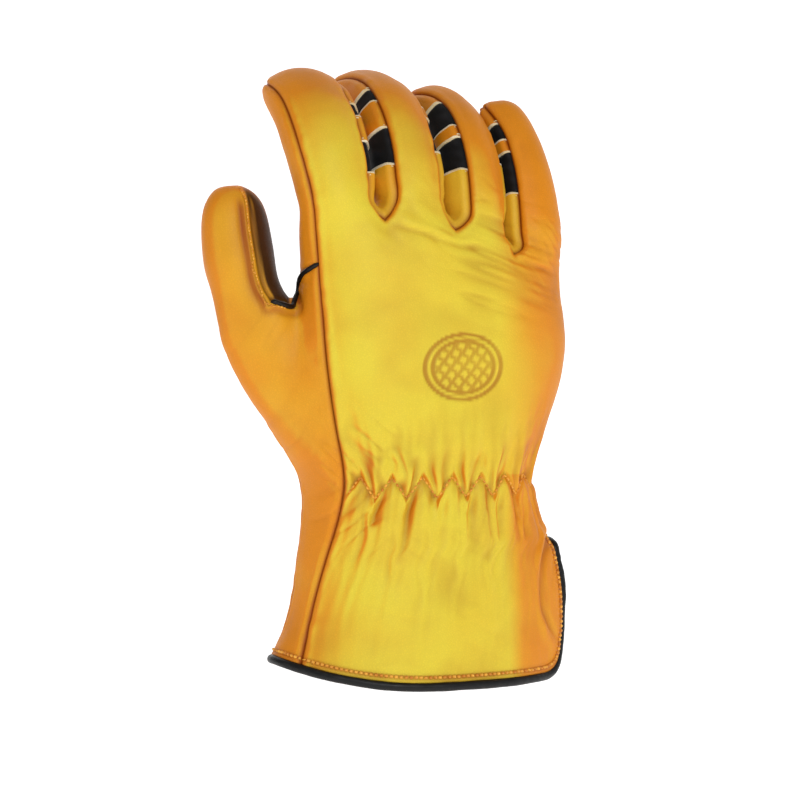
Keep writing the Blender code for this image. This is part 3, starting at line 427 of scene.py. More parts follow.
def quarter(crown, side, power, count=40):
    """Points of a quarter of a superellipse from its crown to its side."""
    turn = np.linspace(0, math.pi / 2, count)
    x = crown[0] + (side[0] - crown[0]) * np.sin(turn) ** (2 / power)
    y = side[1] + (crown[1] - side[1]) * np.abs(np.cos(turn)) ** (2 / power)
    return np.stack([x, y], 1)


class Line:
    """A chain of points that can be read at any length along it."""

    def __init__(self, points):
        self.points = np.asarray(points)
        steps = np.linalg.norm(np.diff(self.points, axis=0), axis=1)
        self.along = np.concatenate([[0], np.cumsum(steps)])
        self.length = self.along[-1]

    def at(self, length):
        return np.stack([np.interp(length, self.along, c) for c in self.points.T], -1)

    def where_x(self, x):
        """The length at which a chain whose x only rises or only falls reaches x."""
        xs = self.points[:, 0]
        order = np.argsort(xs)
        return np.interp(x, xs[order], self.along[order])

    def spread(self, marks, columns):
        """Points evenly spaced between each two marks, with that many columns each."""
        lengths = [np.linspace(a, b, n + 1)[:-1] for a, b, n in zip(marks, marks[1:], columns)]
        return self.at(np.concatenate(lengths + [marks[-1:]]))

# %% [markdown]
# ## Heights
# The wrist is level, but the row of knuckles slopes down to the little finger, so each row is
# tilted and bowed a little more the higher it lies. The hem rises at the thumb's side and is
# rounded up into the vent, as it is cut on the real glove.

# %% Heights of the rows, and the vent
def crotch_xs():
    return [HAND_WIDTH * f[2] for f in FINGERS[:-1]]


def hem_lift(x, y, column_share):
    """How much higher than its lowest point the hem is cut. column_share is 1 at the vent."""
    to_thumb = min(1.0, max(0.0, -x / (0.56 * HAND_WIDTH))) ** HEM_BOW
    corner = 1 - math.sqrt(max(0.0, 1 - max(0.0, column_share) ** 2))
    on_palm = ease((y - 0.1 * HAND_DEPTH) / (0.7 * HAND_DEPTH))
    return HEM_RISE * max(to_thumb, 0.6 * on_palm) + VENT_CORNER * corner


def height(level, x, y, column_share=0.0):
    """The height of a cage vertex: level rows at the wrist that follow the knuckles further up."""
    if level <= 1:
        lift = hem_lift(x, y, column_share) * (1 - ease(level / 0.75))
        return CUFF_LENGTH * level + lift
    share = level - 1
    section = section_at(level)
    palmward = ease((y - section["back_y"]) / (section["palm_y"] - section["back_y"]))
    across = x / HAND_WIDTH
    row = HAND_LENGTH - HAND_WIDTH * (KNUCKLE_SLOPE * across + KNUCKLE_BOW * across**2)
    lean = THUMB_LEAN * min(0.0, x - WEB_X * HAND_WIDTH)
    return CUFF_LENGTH + share * (row + PALM_RISE * palmward) + lean * ease(share / 0.6)


def vent_half_width(row):
    if row >= VENT_TOP_ROW:
        return 0.0
    level = LEVELS[row]
    near_top = math.sqrt(1 - (1 - min(1.0, (VENT_TOP - level) / 0.1)) ** 2)
    width = VENT_TOP_WIDTH + (VENT_HEM_WIDTH - VENT_TOP_WIDTH) * (1 - level / VENT_TOP)
    return near_top * width / 2

# %% [markdown]
# ## A cage with names
# Each vertex is named by its kind, row and column, such as back, 3, 5. Two panels that meet share a
# vertex, which then has two names, so that the skin has no gap at a seam.

# %% The cage of named vertices
class Cage:
    """Named vertices, and faces that each belong to a panel."""

    def __init__(self):
        self.points = []
        self.index = {}
        self.faces = []
        self.panels = []

    def add(self, key, point):
        self.index[key] = len(self.points)
        self.points.append(np.array(point, float))

    def same(self, key, other):
        """Gives a vertex that is there already a second name."""
        self.index[key] = self.index[other]

    def at(self, key):
        return self.points[self.index[key]]

    def face(self, panel, *keys):
        corners = []
        for key in keys:
            i = self.index[key]
            if i not in corners:
                corners.append(i)
        if len(corners) > 2:
            self.faces.append(corners)
            self.panels.append(panel)

# %% [markdown]
# ## Rows round the cuff and the hand
# A row runs over the back, the palm and the thumb's root. Towards the fingers, the columns of the
# back and the palm move over to the crotches, so that each finger starts from four sides of its
# own.

# %% A row across the back
def finger_marks(line, level, start, end, crotches):
    """Where the fingers' columns meet along a row: evenly at the hem, at the crotches above."""
    marks = [start]
    for k, x in enumerate(crotches, 1):
        even = start + (end - start) * k / len(FINGERS)
        marks.append(even + (line.where_x(x) - even) * ease((level - 1) / 0.85))
    return np.array(marks + [end])


def back_row(cage, row):
    """The vertices of one row across the back, from the index seam to the ulnar seam."""
    level = LEVELS[row]
    s = section_at(level)
    power = s["power"]
    radial = quarter((0, s["back_y"]), (s["radial_x"], s["radial_y"]), power)[::-1]
    ulnar = quarter((0, s["back_y"]), (s["ulnar_x"], s["ulnar_y"]), power)
    line = Line(np.concatenate([radial, ulnar[1:]]))
    start = line.where_x(s["seam_x"])
    end = line.length - vent_half_width(row) * (1 + VENT_TO_BACK)
    marks = finger_marks(line, level, start, end, crotch_xs())
    flat = line.spread(marks, [BACK_COLUMNS] * len(FINGERS))
    last = len(flat) - 1
    for u, (x, y) in enumerate(flat):
        to_vent = 1 - (last - u) * (end - start) / last / VENT_CORNER
        cage.add(("back", row, u), (x, y, height(level, x, y, to_vent)))

# %% A row across the palm
def palm_row(cage, row):
    """The vertices of one row across the palm, from the ulnar seam to the palm's thumb side."""
    level = LEVELS[row]
    s = section_at(level)
    power = s["power"]
    ulnar = quarter((0, s["palm_y"]), (s["ulnar_x"], s["ulnar_y"]), power)[::-1]
    radial = quarter((0, s["palm_y"]), (s["radial_x"], s["radial_y"]), power)
    line = Line(np.concatenate([ulnar, radial[1:]]))
    start = vent_half_width(row) * (1 - VENT_TO_BACK)
    half = Line(ulnar).length
    end = half + Line(radial).where_x(s["palm_seam_x"])
    marks = finger_marks(line, level, start, end, crotch_xs()[::-1])
    flat = line.spread(marks, [PALM_COLUMNS] * len(FINGERS))
    last = len(flat) - 1
    for p, (x, y) in enumerate(flat):
        if p == 0 and row >= VENT_TOP_ROW:
            cage.same(("palm", row, 0), ("back", row, BACK_COLUMNS * len(FINGERS)))
            continue
        to_vent = 1 - p * (end - start) / last / VENT_CORNER
        cage.add(("palm", row, p), (x, y, height(level, x, y, to_vent)))

# %% A row round the thumb's root
def root_row(cage, row):
    """One row round the thumb's root, from the index seam over the outside to the palm."""
    level = LEVELS[row]
    power = smooth(ROOT["level"], ROOT["power"], level)
    edge_x = HAND_WIDTH * smooth(ROOT["level"], ROOT["x"], level)
    edge_y = HAND_DEPTH * smooth(ROOT["level"], ROOT["y"], level)
    back = cage.at(("back", row, 0))[:2]
    palm = cage.at(("palm", row, PALM_COLUMNS * len(FINGERS)))[:2]
    outwards = quarter(back, (edge_x, edge_y), power)
    inwards = quarter(palm, (edge_x, edge_y), power)[::-1]
    line = Line(np.concatenate([outwards, inwards[1:]]))
    flat = line.spread(np.array([0, line.length]), [RADIAL_COLUMNS])
    web_back = np.array([HAND_WIDTH * WEB_X, HAND_DEPTH * WEB_BACK_Y])
    web_seam = np.array([HAND_WIDTH * WEB_SEAM_X, HAND_DEPTH * WEB_SEAM_Y])
    web_palm = np.array([HAND_WIDTH * WEB_X, HAND_DEPTH * WEB_PALM_Y])
    drawn = {WEB_START: web_back, WEB_END: web_palm, THUMB_SEAM: web_seam}
    for j in range(WEB_START + 1, THUMB_SEAM):
        drawn[j] = web_back + (web_seam - web_back) * (j - WEB_START) / INNER_COLUMNS
    dent = WEB_DENT.get(row, 0.0)
    cage.same(("root", row, 0), ("back", row, 0))
    cage.same(("root", row, RADIAL_COLUMNS), ("palm", row, PALM_COLUMNS * len(FINGERS)))
    for j in range(1, RADIAL_COLUMNS):
        x, y = flat[j] + (drawn.get(j, flat[j]) - flat[j]) * dent
        rise = 0.0
        if WEB_START <= j <= THUMB_SEAM:
            to_seam = (j - WEB_START) / INNER_COLUMNS
            rise = dent * (WEB_SEAM_RISE * to_seam - WEB_DROP * (1 - to_seam))
        cage.add(("root", row, j), (x, y, height(level, x, y) + rise))

# %% The index side above the web, and the lines that two parts share
def knuckle_side_row(cage, row):
    """One row round the index side of the hand above the web."""
    s = section_at(LEVELS[row])
    power = s["power"]
    side = (s["radial_x"], s["radial_y"])
    back = Line(quarter((0, s["back_y"]), side, power))
    palm = Line(quarter((0, s["palm_y"]), side, power))
    back_part = back.at(np.linspace(back.where_x(s["seam_x"]), back.length, 20))
    palm_part = palm.at(np.linspace(palm.length, palm.where_x(s["palm_seam_x"]), 20))
    line = Line(np.concatenate([back_part, palm_part[1:]]))
    flat = line.spread(np.array([0, line.length]), [HAND_RADIAL_COLUMNS])
    cage.same(("side", row, 0), ("back", row, 0))
    cage.same(("side", row, HAND_RADIAL_COLUMNS), ("palm", row, PALM_COLUMNS * len(FINGERS)))
    for k in range(1, HAND_RADIAL_COLUMNS):
        x, y = flat[k]
        cage.add(("side", row, k), (x, y, height(LEVELS[row], x, y)))


def web_line(cage):
    """The bottom of the web, which the hand's side and the thumb share."""
    start = cage.at(("root", WEB_ROW, WEB_START))
    end = cage.at(("root", WEB_ROW, WEB_END))
    for k in range(1, EDGE_COLUMNS + 1):
        cage.same(("side", WEB_ROW, k), ("root", WEB_ROW, k))
    for k in range(1, WEB_COLUMNS):
        point = start + (end - start) * k / WEB_COLUMNS
        cage.add(("side", WEB_ROW, EDGE_COLUMNS + k), point)
    cage.same(("side", WEB_ROW, EDGE_COLUMNS + WEB_COLUMNS), ("root", WEB_ROW, WEB_END))
    cage.same(("side", WEB_ROW, 0), ("root", WEB_ROW, 0))
    cage.same(("side", WEB_ROW, HAND_RADIAL_COLUMNS), ("root", WEB_ROW, RADIAL_COLUMNS))


def crotch_lines(cage):
    """The bottoms of the three gaps between fingers, from the back's slit to the palm's."""
    for gap in range(len(FINGERS) - 1):
        back = ("back", TOP_ROW, BACK_COLUMNS * (gap + 1))
        palm = ("palm", TOP_ROW, PALM_COLUMNS * (len(FINGERS) - 1 - gap))
        cage.same(("crotch", gap, 0), back)
        cage.same(("crotch", gap, SIDE_COLUMNS), palm)
        for k in range(1, SIDE_COLUMNS):
            share = k / SIDE_COLUMNS
            cage.add(("crotch", gap, k), cage.at(back) + (cage.at(palm) - cage.at(back)) * share)

# %% [markdown]
# ## Rings of the fingers
# A finger is a row of rings along a middle line that turns a little at each step. Its tip closes on
# a short seam and not on a point, as a sewn fingertip does.

# %% A digit's middle line
def turned(vector, axis, degrees):
    """The vector turned about a unit axis by the right-hand rule."""
    turn = math.radians(degrees)
    along = axis * np.dot(axis, vector) * (1 - math.cos(turn))
    return vector * math.cos(turn) + np.cross(axis, vector) * math.sin(turn) + along


def middle_line(start, length, shares, curls, leans, roll):
    """For each share of a digit's length, its middle and its side, back and length directions."""
    steps = 60
    along = np.linspace(0, 1, steps + 1)
    stations = []
    point = np.array(start, float)
    for i, t in enumerate(along):
        side, back, ahead = np.array([1.0, 0, 0]), np.array([0, -1.0, 0]), np.array([0, 0, 1.0])
        side, back = turned(side, ahead, roll), turned(back, ahead, roll)
        lean = leans[0] + (leans[1] - leans[0]) * t
        depth_axis = np.array([0, 1.0, 0])
        side, back, ahead = (turned(v, depth_axis, lean) for v in (side, back, ahead))
        curl = curls[0] + (curls[1] - curls[0]) * t**CURL_POWER
        back, ahead = (turned(v, side, -curl) for v in (back, ahead))
        if i:
            point = point + ahead * length / steps
        stations.append(np.concatenate([point, side, back, ahead]))
    stations = np.array(stations)
    found = []
    for share in shares:
        values = [np.interp(share, along, stations[:, c]) for c in range(12)]
        found.append(np.array(values).reshape(4, 3))
    return found

# %% A digit's section, and a finger's columns round it
def tip_rounding(share, tip_share):
    """How much of its width a digit still has, from 1 before the cap to 0 at the end."""
    into = np.clip((share - 1 + tip_share) / tip_share, 0, 1)
    return math.sqrt(max(0.0, 1 - into**2))


def ring_points(station, half_width, half_depth, angles):
    """The points of a digit's section at the given angles: 0 is its ulnar side, 90 its back."""
    middle, side, back, _ = station
    turn = np.radians(angles)[:, None]
    return middle + side * half_width * np.cos(turn) + back * half_depth * np.sin(turn)


def finger_columns(f):
    """The panel names and column counts round finger f, from its radial back seam."""
    ulnar = SIDE_COLUMNS if f < len(FINGERS) - 1 else 0
    radial = SIDE_COLUMNS if f else HAND_RADIAL_COLUMNS
    return BACK_COLUMNS, ulnar, PALM_COLUMNS, radial


def finger_angles(f, share):
    """The angle of each column round finger f. Its seams close up towards the tip."""
    closing = 1 - 0.6 * ease((share - 0.7) / 0.25)
    finger = dict(zip(FINGER_FIELDS, FINGERS[f]))
    back = finger["little_side_seam"] * closing
    outer = finger["thumb_side_seam"] * closing
    palm = PALM_SEAM_ANGLE * closing
    n_back, n_ulnar, n_palm, n_radial = finger_columns(f)
    ulnar_back, ulnar_palm = (back, -palm) if n_ulnar else (ULNAR_SEAM_ANGLE, ULNAR_SEAM_ANGLE)
    marks = [180 - outer, ulnar_back, ulnar_palm, palm - 180, -180 - outer]
    counts = [n_back, n_ulnar, n_palm, n_radial]
    parts = [np.linspace(a, b, n, endpoint=False) for a, b, n in zip(marks, marks[1:], counts)]
    return np.concatenate(parts)

# %% [markdown]
# ## One finger
# A finger starts from the vertices of the crotch row, so that it grows out of the hand with no
# seam. Each face then gets the panel that it's cut from: back, palm, or a piece of a side wall.

# %% One whole finger
def base_ring(f):
    """The names of the cage vertices that finger f starts from, in column order."""
    n_back, n_ulnar, n_palm, n_radial = finger_columns(f)
    keys = [("back", TOP_ROW, n_back * f + k) for k in range(n_back)]
    keys += [("crotch", f, k) for k in range(n_ulnar)]
    first = PALM_COLUMNS * (len(FINGERS) - 1 - f)
    keys += [("palm", TOP_ROW, first + k) for k in range(n_palm)]
    if f:
        keys += [("crotch", f - 1, SIDE_COLUMNS - k) for k in range(n_radial)]
    else:
        keys += [("side", TOP_ROW, HAND_RADIAL_COLUMNS - k) for k in range(n_radial)]
    return keys


def add_finger(cage, f):
    """Rings of one finger from the crotch row to its tip seam, with their faces."""
    finger = dict(zip(FINGER_FIELDS, FINGERS[f]))
    name = finger["name"]
    keys = base_ring(f)
    base = np.array([cage.at(key) for key in keys])
    counts = finger_columns(f)
    seams = np.concatenate([[0], np.cumsum(counts)])
    total = seams[-1]
    start = (base.min(0) + base.max(0)) / 2
    start[2] = base[:, 2].mean()
    half_base = HAND_WIDTH * (finger["end_x"] - finger["start_x"]) / 2 - FINGER_CLEARANCE
    half_depth = FINGER_DEPTH * finger["depth"] / 2
    length = FINGER_LENGTH * finger["length"]
    stations = middle_line(
        start, length, FINGER_SHARES, (finger["curl_start"], finger["curl_tip"]),
        (finger["lean"], finger["lean"]), finger["roll"],
    )
    for c, key in enumerate(keys):
        cage.same((name, 0, c), key)
    for r, share in enumerate(FINGER_SHARES[1:], 1):
        cap = tip_rounding(share, CAP_SHARE)
        bulge = finger["bulge"] * math.sin(math.pi * share)
        width = half_base * (1 + (finger["tip_width"] - 1) * share + bulge)
        width = TIP_SEAM_WIDTH / 2 + (width - TIP_SEAM_WIDTH / 2) * cap
        depth = half_depth * (1 + (TIP_DEPTH - 1) * share) * cap
        if r == len(FINGER_SHARES) - 1:
            break
        ring = ring_points(stations[r], width, depth, finger_angles(f, share))
        for c, point in enumerate(ring):
            cage.add((name, r, c), point)
    middle, side = stations[-1][:2]
    n_seam = min(counts[0], counts[2])
    for k in range(n_seam + 1):
        offset = side * TIP_SEAM_WIDTH * (k / n_seam - 0.5)
        cage.add((name, "seam", k), middle + offset)
    last = len(FINGER_SHARES) - 2

    def column_panel(c, row):
        group = int(np.searchsorted(seams, c, side="right")) - 1
        if group == 0:
            return "back_panel"
        if group == 2 or (f == 0 and group == 3):
            return "palm_panel"
        if row == last:
            first = seams[group] if group == 1 else total - 1
            return "back_panel" if c == first else "palm_panel"
        gap = f if group == 1 else f - 1
        piece = next(p for p, end in zip(SIDE_PIECES, SIDE_ENDS[gap]) if FINGER_SHARES[row] < end)
        if piece == "crotch":
            return f"gusset_{gap + 1}_crotch"
        return f"gusset_{gap + 1}_{name}_{piece}"

    for r in range(last):
        for c in range(total):
            d = (c + 1) % total
            low, high = [(name, r, c), (name, r, d)], [(name, r + 1, d), (name, r + 1, c)]
            cage.face(column_panel(c, r), *low, *high)
    for c in range(total):
        group = int(np.searchsorted(seams, c, side="right")) - 1
        d = (c + 1) % total

        def seam_key(column):
            if column <= seams[1]:
                return (name, "seam", round(column * n_seam / counts[0]))
            if column <= seams[2]:
                return (name, "seam", n_seam)
            if column <= seams[3]:
                return (name, "seam", n_seam - round((column - seams[2]) * n_seam / counts[2]))
            return (name, "seam", 0)

        ring = [(name, last, c), (name, last, d)]
        cage.face(column_panel(c, last), *ring, seam_key(c + 1), seam_key(c))

# %% [markdown]
# ## Rings of the thumb
# The thumb starts from its root and the web. Its two panels meet in seams that run from the web
# over the tip and down to the palm.

# %% Rings of the thumb
def thumb_angles():
    """The angle of each column round the thumb, from the web over its back to the palm side."""
    marks = [THUMB_WEB_ANGLE, THUMB_SEAM_ANGLE, THUMB_OUTER_ANGLE, THUMB_PALM_ANGLE]
    marks.append(THUMB_WEB_ANGLE + 360)
    counts = [INNER_COLUMNS, THUMB_BACK_COLUMNS, THUMB_FRONT_COLUMNS, WEB_COLUMNS]
    parts = [np.linspace(a, b, n, endpoint=False) for a, b, n in zip(marks, marks[1:], counts)]
    return np.concatenate(parts)


def add_thumb(cage):
    """Rings of the thumb above the web, with their faces."""
    total = WEB_END - WEB_START + WEB_COLUMNS
    keys = [("root", WEB_ROW, WEB_START + c) for c in range(WEB_END - WEB_START + 1)]
    keys += [("side", WEB_ROW, EDGE_COLUMNS + WEB_COLUMNS - k) for k in range(1, WEB_COLUMNS)]
    base = np.array([cage.at(key) for key in keys])
    start = (base.min(0) + base.max(0)) / 2
    stations = middle_line(
        start, THUMB_LENGTH, THUMB_SHARES, (THUMB_CURL_START, THUMB_CURL_TIP),
        (THUMB_LEAN_START, THUMB_LEAN_TIP), 0,
    )
    for c, key in enumerate(keys):
        cage.same(("thumb", 0, c), key)
    last = len(THUMB_SHARES) - 2
    for r in range(1, last + 1):
        share = THUMB_SHARES[r]
        cap = tip_rounding(share, 1.6 * CAP_SHARE)
        width = THUMB_WIDTH / 2 * (1 + (THUMB_TIP_WIDTH - 1) * share)
        width = THUMB_TIP_SEAM_WIDTH / 2 + (width - THUMB_TIP_SEAM_WIDTH / 2) * cap
        depth = THUMB_DEPTH / 2 * (1 + (TIP_DEPTH - 1) * share) * cap
        for c, point in enumerate(ring_points(stations[r], width, depth, thumb_angles())):
            cage.add(("thumb", r, c), point)
    seam_turn = math.radians((THUMB_SEAM_ANGLE + THUMB_OUTER_ANGLE) / 2 + 90)
    middle, side, back, _ = stations[-1]
    across = side * math.cos(seam_turn) + back * math.sin(seam_turn)
    for k in range(THUMB_BACK_COLUMNS + 1):
        offset = across * THUMB_TIP_SEAM_WIDTH * (k / THUMB_BACK_COLUMNS - 0.5)
        cage.add(("thumb", "seam", k), middle + offset)

    def panel_of(c):
        on_back = INNER_COLUMNS <= c < INNER_COLUMNS + THUMB_BACK_COLUMNS
        return "thumb_panel" if on_back else "thumb_front"

    def seam_key(column):
        start_front = INNER_COLUMNS + THUMB_BACK_COLUMNS
        if INNER_COLUMNS <= column <= start_front:
            return ("thumb", "seam", column - INNER_COLUMNS)
        front = total - THUMB_BACK_COLUMNS
        into = (column - start_front) % total
        return ("thumb", "seam", THUMB_BACK_COLUMNS - round(into * THUMB_BACK_COLUMNS / front))

    for r in range(last):
        for c in range(total):
            d = (c + 1) % total
            low = [("thumb", r, d), ("thumb", r, c)]
            cage.face(panel_of(c), *low, ("thumb", r + 1, c), ("thumb", r + 1, d))
    for c in range(total):
        d = (c + 1) % total
        cage.face(panel_of(c), ("thumb", last, d), ("thumb", last, c), seam_key(c), seam_key(c + 1))

# %% [markdown]
# ## Faces and rounding
# Four neighbouring vertices make a face, and each face belongs to a panel. Near the crotches and
# the web the cage is relaxed: each vertex moves towards the mean of its neighbours, as soft leather
# evens out a sharp change.

# %% Faces of the cuff and the hand
def add_body_faces(cage):
    """The faces of the cuff and the hand up to the crotch row. They face out."""
    n_back = BACK_COLUMNS * len(FINGERS)
    n_palm = PALM_COLUMNS * len(FINGERS)

    def strip(kind, row, column, panel):
        low, high = (kind, row, column), (kind, row, column + 1)
        cage.face(panel, low, high, (kind, row + 1, column + 1), (kind, row + 1, column))

    for row in range(TOP_ROW):
        for u in range(n_back):
            strip("back", row, u, "back_panel")
        for p in range(n_palm):
            strip("palm", row, p, "palm_panel")
    for row in range(WEB_ROW):
        for j in range(RADIAL_COLUMNS):
            panel = "palm_panel"
            if j < OUTER_SEAM:
                panel = "thumb_panel"
            elif j < WEB_END and row >= THUMB_FRONT_ROW:
                panel = "thumb_front"
            low, high = ("root", row, j), ("root", row, j + 1)
            cage.face(panel, high, low, ("root", row + 1, j), ("root", row + 1, j + 1))
    for row in range(WEB_ROW, TOP_ROW):
        for k in range(HAND_RADIAL_COLUMNS):
            panel = "thumb_panel" if k <= EDGE_COLUMNS and row < PIPING_ROW else "palm_panel"
            low, high = ("side", row, k), ("side", row, k + 1)
            cage.face(panel, high, low, ("side", row + 1, k), ("side", row + 1, k + 1))

# %% Relax the cage
def neighbours(cage):
    """The vertices that share an edge with each vertex."""
    found = [set() for _ in cage.points]
    for face in cage.faces:
        for a, b in zip(face, face[1:] + face[:1]):
            found[a].add(b)
            found[b].add(a)
    return found


def relax(cage, keys, rounds, strength=0.5):
    """Rounds off the cage near the named vertices."""
    near = neighbours(cage)
    chosen = sorted({cage.index[key] for key in keys})
    for _ in range(rounds):
        moved = {}
        for i in chosen:
            mean = np.mean([cage.points[j] for j in near[i]], axis=0)
            moved[i] = cage.points[i] + (mean - cage.points[i]) * strength
        for i, point in moved.items():
            cage.points[i] = point


def normals_of(points, faces):
    """The outward direction at each vertex, weighted by the areas of its faces."""
    total = np.zeros_like(points)
    for face in faces:
        corners = points[face]
        middle = corners.mean(0)
        pairs = zip(corners, np.roll(corners, -1, axis=0))
        area = sum(np.cross(a - middle, b - middle) for a, b in pairs)
        for i in face:
            total[i] += area
    lengths = np.linalg.norm(total, axis=1, keepdims=True)
    return total / np.maximum(lengths, 1e-12)

# %% [markdown]
# ## What sewing does to the form
# The last moves shape the cage as sewing does. The piping's line is sloped and rounded, the bottoms
# of the gaps open into a U, the elastic pulls the wrist in between the gathers, and the vent's edge
# turns out.

# %% The piping's line and the gathered wrist
def smooth_piping(cage):
    """Slopes the piping's line down round the index's base and rounds its corners."""
    route = piping_route(cage)
    for k in range(EDGE_COLUMNS + 2):
        i = cage.index[("side", PIPING_ROW, k)]
        cage.points[i] = cage.points[i] - np.array([0, 0, PIPING_SLOPE * k / EDGE_COLUMNS])
    for _ in range(PIPING_ROUNDS):
        line = [cage.points[i] for i in route]
        for k in range(1, len(route) - 1):
            cage.points[route[k]] = (line[k - 1] + 2 * line[k] + line[k + 1]) / 4


def open_crotches(cage):
    """Drops the bottoms of the gaps and moves the walls just above them apart, into a U."""
    for gap in range(len(FINGERS) - 1):
        for k in range(SIDE_COLUMNS + 1):
            cage.points[cage.index[("crotch", gap, k)]][2] -= CROTCH_DROP
        for f, way in ((gap, -1), (gap + 1, 1)):
            n_back, n_ulnar, n_palm, n_radial = finger_columns(f)
            first = n_back if way < 0 else n_back + n_ulnar + n_palm
            count = n_ulnar if way < 0 else n_radial
            for c in range(first, first + count + 1):
                i = cage.index[(FINGERS[f][0], 1, c % (n_back + n_ulnar + n_palm + n_radial))]
                cage.points[i][0] += way * CROTCH_WIDENING


def gather_shift(level, column):
    """How far the gathered wrist pushes the back out or in at one column."""
    wave = math.cos(2 * math.pi * (column / 4 - 0.5))
    away = (level - 1) * (CUFF_LENGTH if level < 1 else HAND_LENGTH)
    stitch = STITCH_RISE * wave
    above = away - stitch
    fade = math.exp(-((abs(above) / GATHER_REACH) ** 1.5))
    ridge = -wave if above > 0 else wave
    pull = WRIST_PULL * math.exp(-((above / (1.6 * STITCH_RISE)) ** 2))
    return GATHER_DEPTH * ridge * fade - pull


def gather_wrist(cage):
    """Pushes the back panel out and in where the elastic gathers it."""
    points = np.array(cage.points)
    out = normals_of(points, cage.faces)
    n_back = BACK_COLUMNS * len(FINGERS)
    for row, level in enumerate(LEVELS):
        for u in range(1, n_back):
            edge = ease(min(u, n_back - u) / 2)
            i = cage.index[("back", row, u)]
            cage.points[i] = points[i] + out[i] * gather_shift(level, u) * edge
    for row in range(VENT_TOP_ROW + 1):
        for back in range(VENT_COLUMNS):
            i = cage.index[("back", row, n_back - back)]
            turned_out = 1 - ease(back / VENT_COLUMNS)
            down = ease((VENT_TOP + 0.05 - LEVELS[row]) / 0.12)
            cage.points[i] = cage.points[i] + out[i] * VENT_FLARE * turned_out * down


def piping_route(cage):
    """The cage vertices that the piping follows, from the index seam to the thumb's inner seam."""
    keys = [("side", PIPING_ROW, k) for k in range(EDGE_COLUMNS + 2)]
    keys += [("side", row, EDGE_COLUMNS + 1) for row in range(PIPING_ROW - 1, WEB_ROW - 1, -1)]
    keys += [("root", WEB_ROW, j) for j in range(WEB_START, THUMB_SEAM + 1)]
    return [cage.index[key] for key in keys]

# %% [markdown]
# ## All of the cage
# The parts are put together in order: rows, web, crotches, faces, fingers and thumb. What rounds
# them off comes last, because it moves vertices that several of them share.

# %% The whole cage
def make_cage():
    cage = Cage()
    for row in range(len(LEVELS)):
        back_row(cage, row)
        palm_row(cage, row)
        if row <= WEB_ROW:
            root_row(cage, row)
        else:
            knuckle_side_row(cage, row)
    web_line(cage)
    crotch_lines(cage)
    add_body_faces(cage)
    for f in range(len(FINGERS)):
        add_finger(cage, f)
    add_thumb(cage)
    keys = list(cage.index)
    near_crotches = [k for k in keys if k[0] in ("back", "palm", "side") and k[1] >= TOP_ROW - 1]
    near_crotches += [k for k in keys if k[0] == "crotch"]
    names = {f[0] for f in FINGERS}
    near_crotches += [k for k in keys if k[0] in names and k[1] == 1]
    web_rows = range(WEB_ROW - 3, WEB_ROW + 3)
    near_web = [k for k in keys if k[0] in ("root", "side") and k[1] in web_rows]
    near_web += [("thumb", r, c) for r in (0, 1, 2) for c in range(12)]
    held = {cage.index[("root", WEB_ROW, j)] for j in range(WEB_START, THUMB_SEAM + 1)}
    near_web = [k for k in near_web if cage.index[k] not in held]
    relax(cage, near_crotches, 2)
    relax(cage, near_web, 4)
    open_crotches(cage)
    smooth_piping(cage)
    gather_wrist(cage)
    return cage

# %% Build the cage
cage = make_cage()
print("cage:", len(cage.points), "vertices and", len(cage.faces), "faces")

# %% [markdown]
# ## From the cage to a smooth skin
# Subdivision turns the coarse cage into a smooth skin, as leather is smooth over a hand. The cage
# goes through it as one closed shape, so that neighbouring panels still meet at their seams. Rows
# are first halved where wrinkles and gathers need more points along the hand. Each fine point
# keeps the cage's row level and column as attributes, to find its place on the back again.

# %% Halve the long rows
HALVED_ROWS = [r for r in range(WEB_ROW) if (LEVELS[r + 1] - LEVELS[r]) * CUFF_LENGTH > 5 * MM]


def halve_rows(cage, rows):
    """Adds a row halfway between row r and r + 1 of the cuff and the hand, for each r."""
    place = {}
    for key, i in cage.index.items():
        if key[0] in ("back", "palm", "root") and key[1] <= WEB_ROW:
            place.setdefault(i, key)
    middles = {}

    def middle_of(low, high):
        if (low, high) not in middles:
            kind, row, column = place[low]
            before = cage.index.get((kind, row - 1, column), low)
            after = cage.index.get((kind, row + 2, column), high)
            p = cage.points
            middles[low, high] = len(p)
            p.append((9 * p[low] + 9 * p[high] - p[before] - p[after]) / 16)
        return middles[low, high]

    faces, panels = [], []
    for face, panel in zip(cage.faces, cage.panels):
        found = [place.get(i, ("", -1, 0))[1] for i in face]
        row = min(found)
        if row in rows and sorted(found) == [row, row, row + 1, row + 1]:
            while not (found[0] == row and found[1] == row):
                face, found = face[1:] + face[:1], found[1:] + found[:1]
            a, b, c, d = face
            ad, bc = middle_of(a, d), middle_of(b, c)
            faces += [[a, b, bc, ad], [ad, bc, c, d]]
            panels += [panel, panel]
        else:
            faces.append(face)
            panels.append(panel)
    cage.faces, cage.panels = faces, panels
    return middles


middles = halve_rows(cage, set(HALVED_ROWS))
row_level = np.full(len(cage.points), 2.5)
back_column = np.full(len(cage.points), -1.0)
for key, i in cage.index.items():
    if key[0] in ("back", "palm", "root", "side"):
        row_level[i] = LEVELS[key[1]]
for key, i in cage.index.items():
    if key[0] == "back":
        back_column[i] = key[2]
for (low, high), i in middles.items():
    row_level[i] = (row_level[low] + row_level[high]) / 2
    back_column[i] = back_column[low]
print("halved", len(HALVED_ROWS), "rows, now", len(cage.faces), "faces")

# %% Subdivide the cage
PANEL_NAMES = sorted(set(cage.panels))
FINE, COARSE = 3, 1


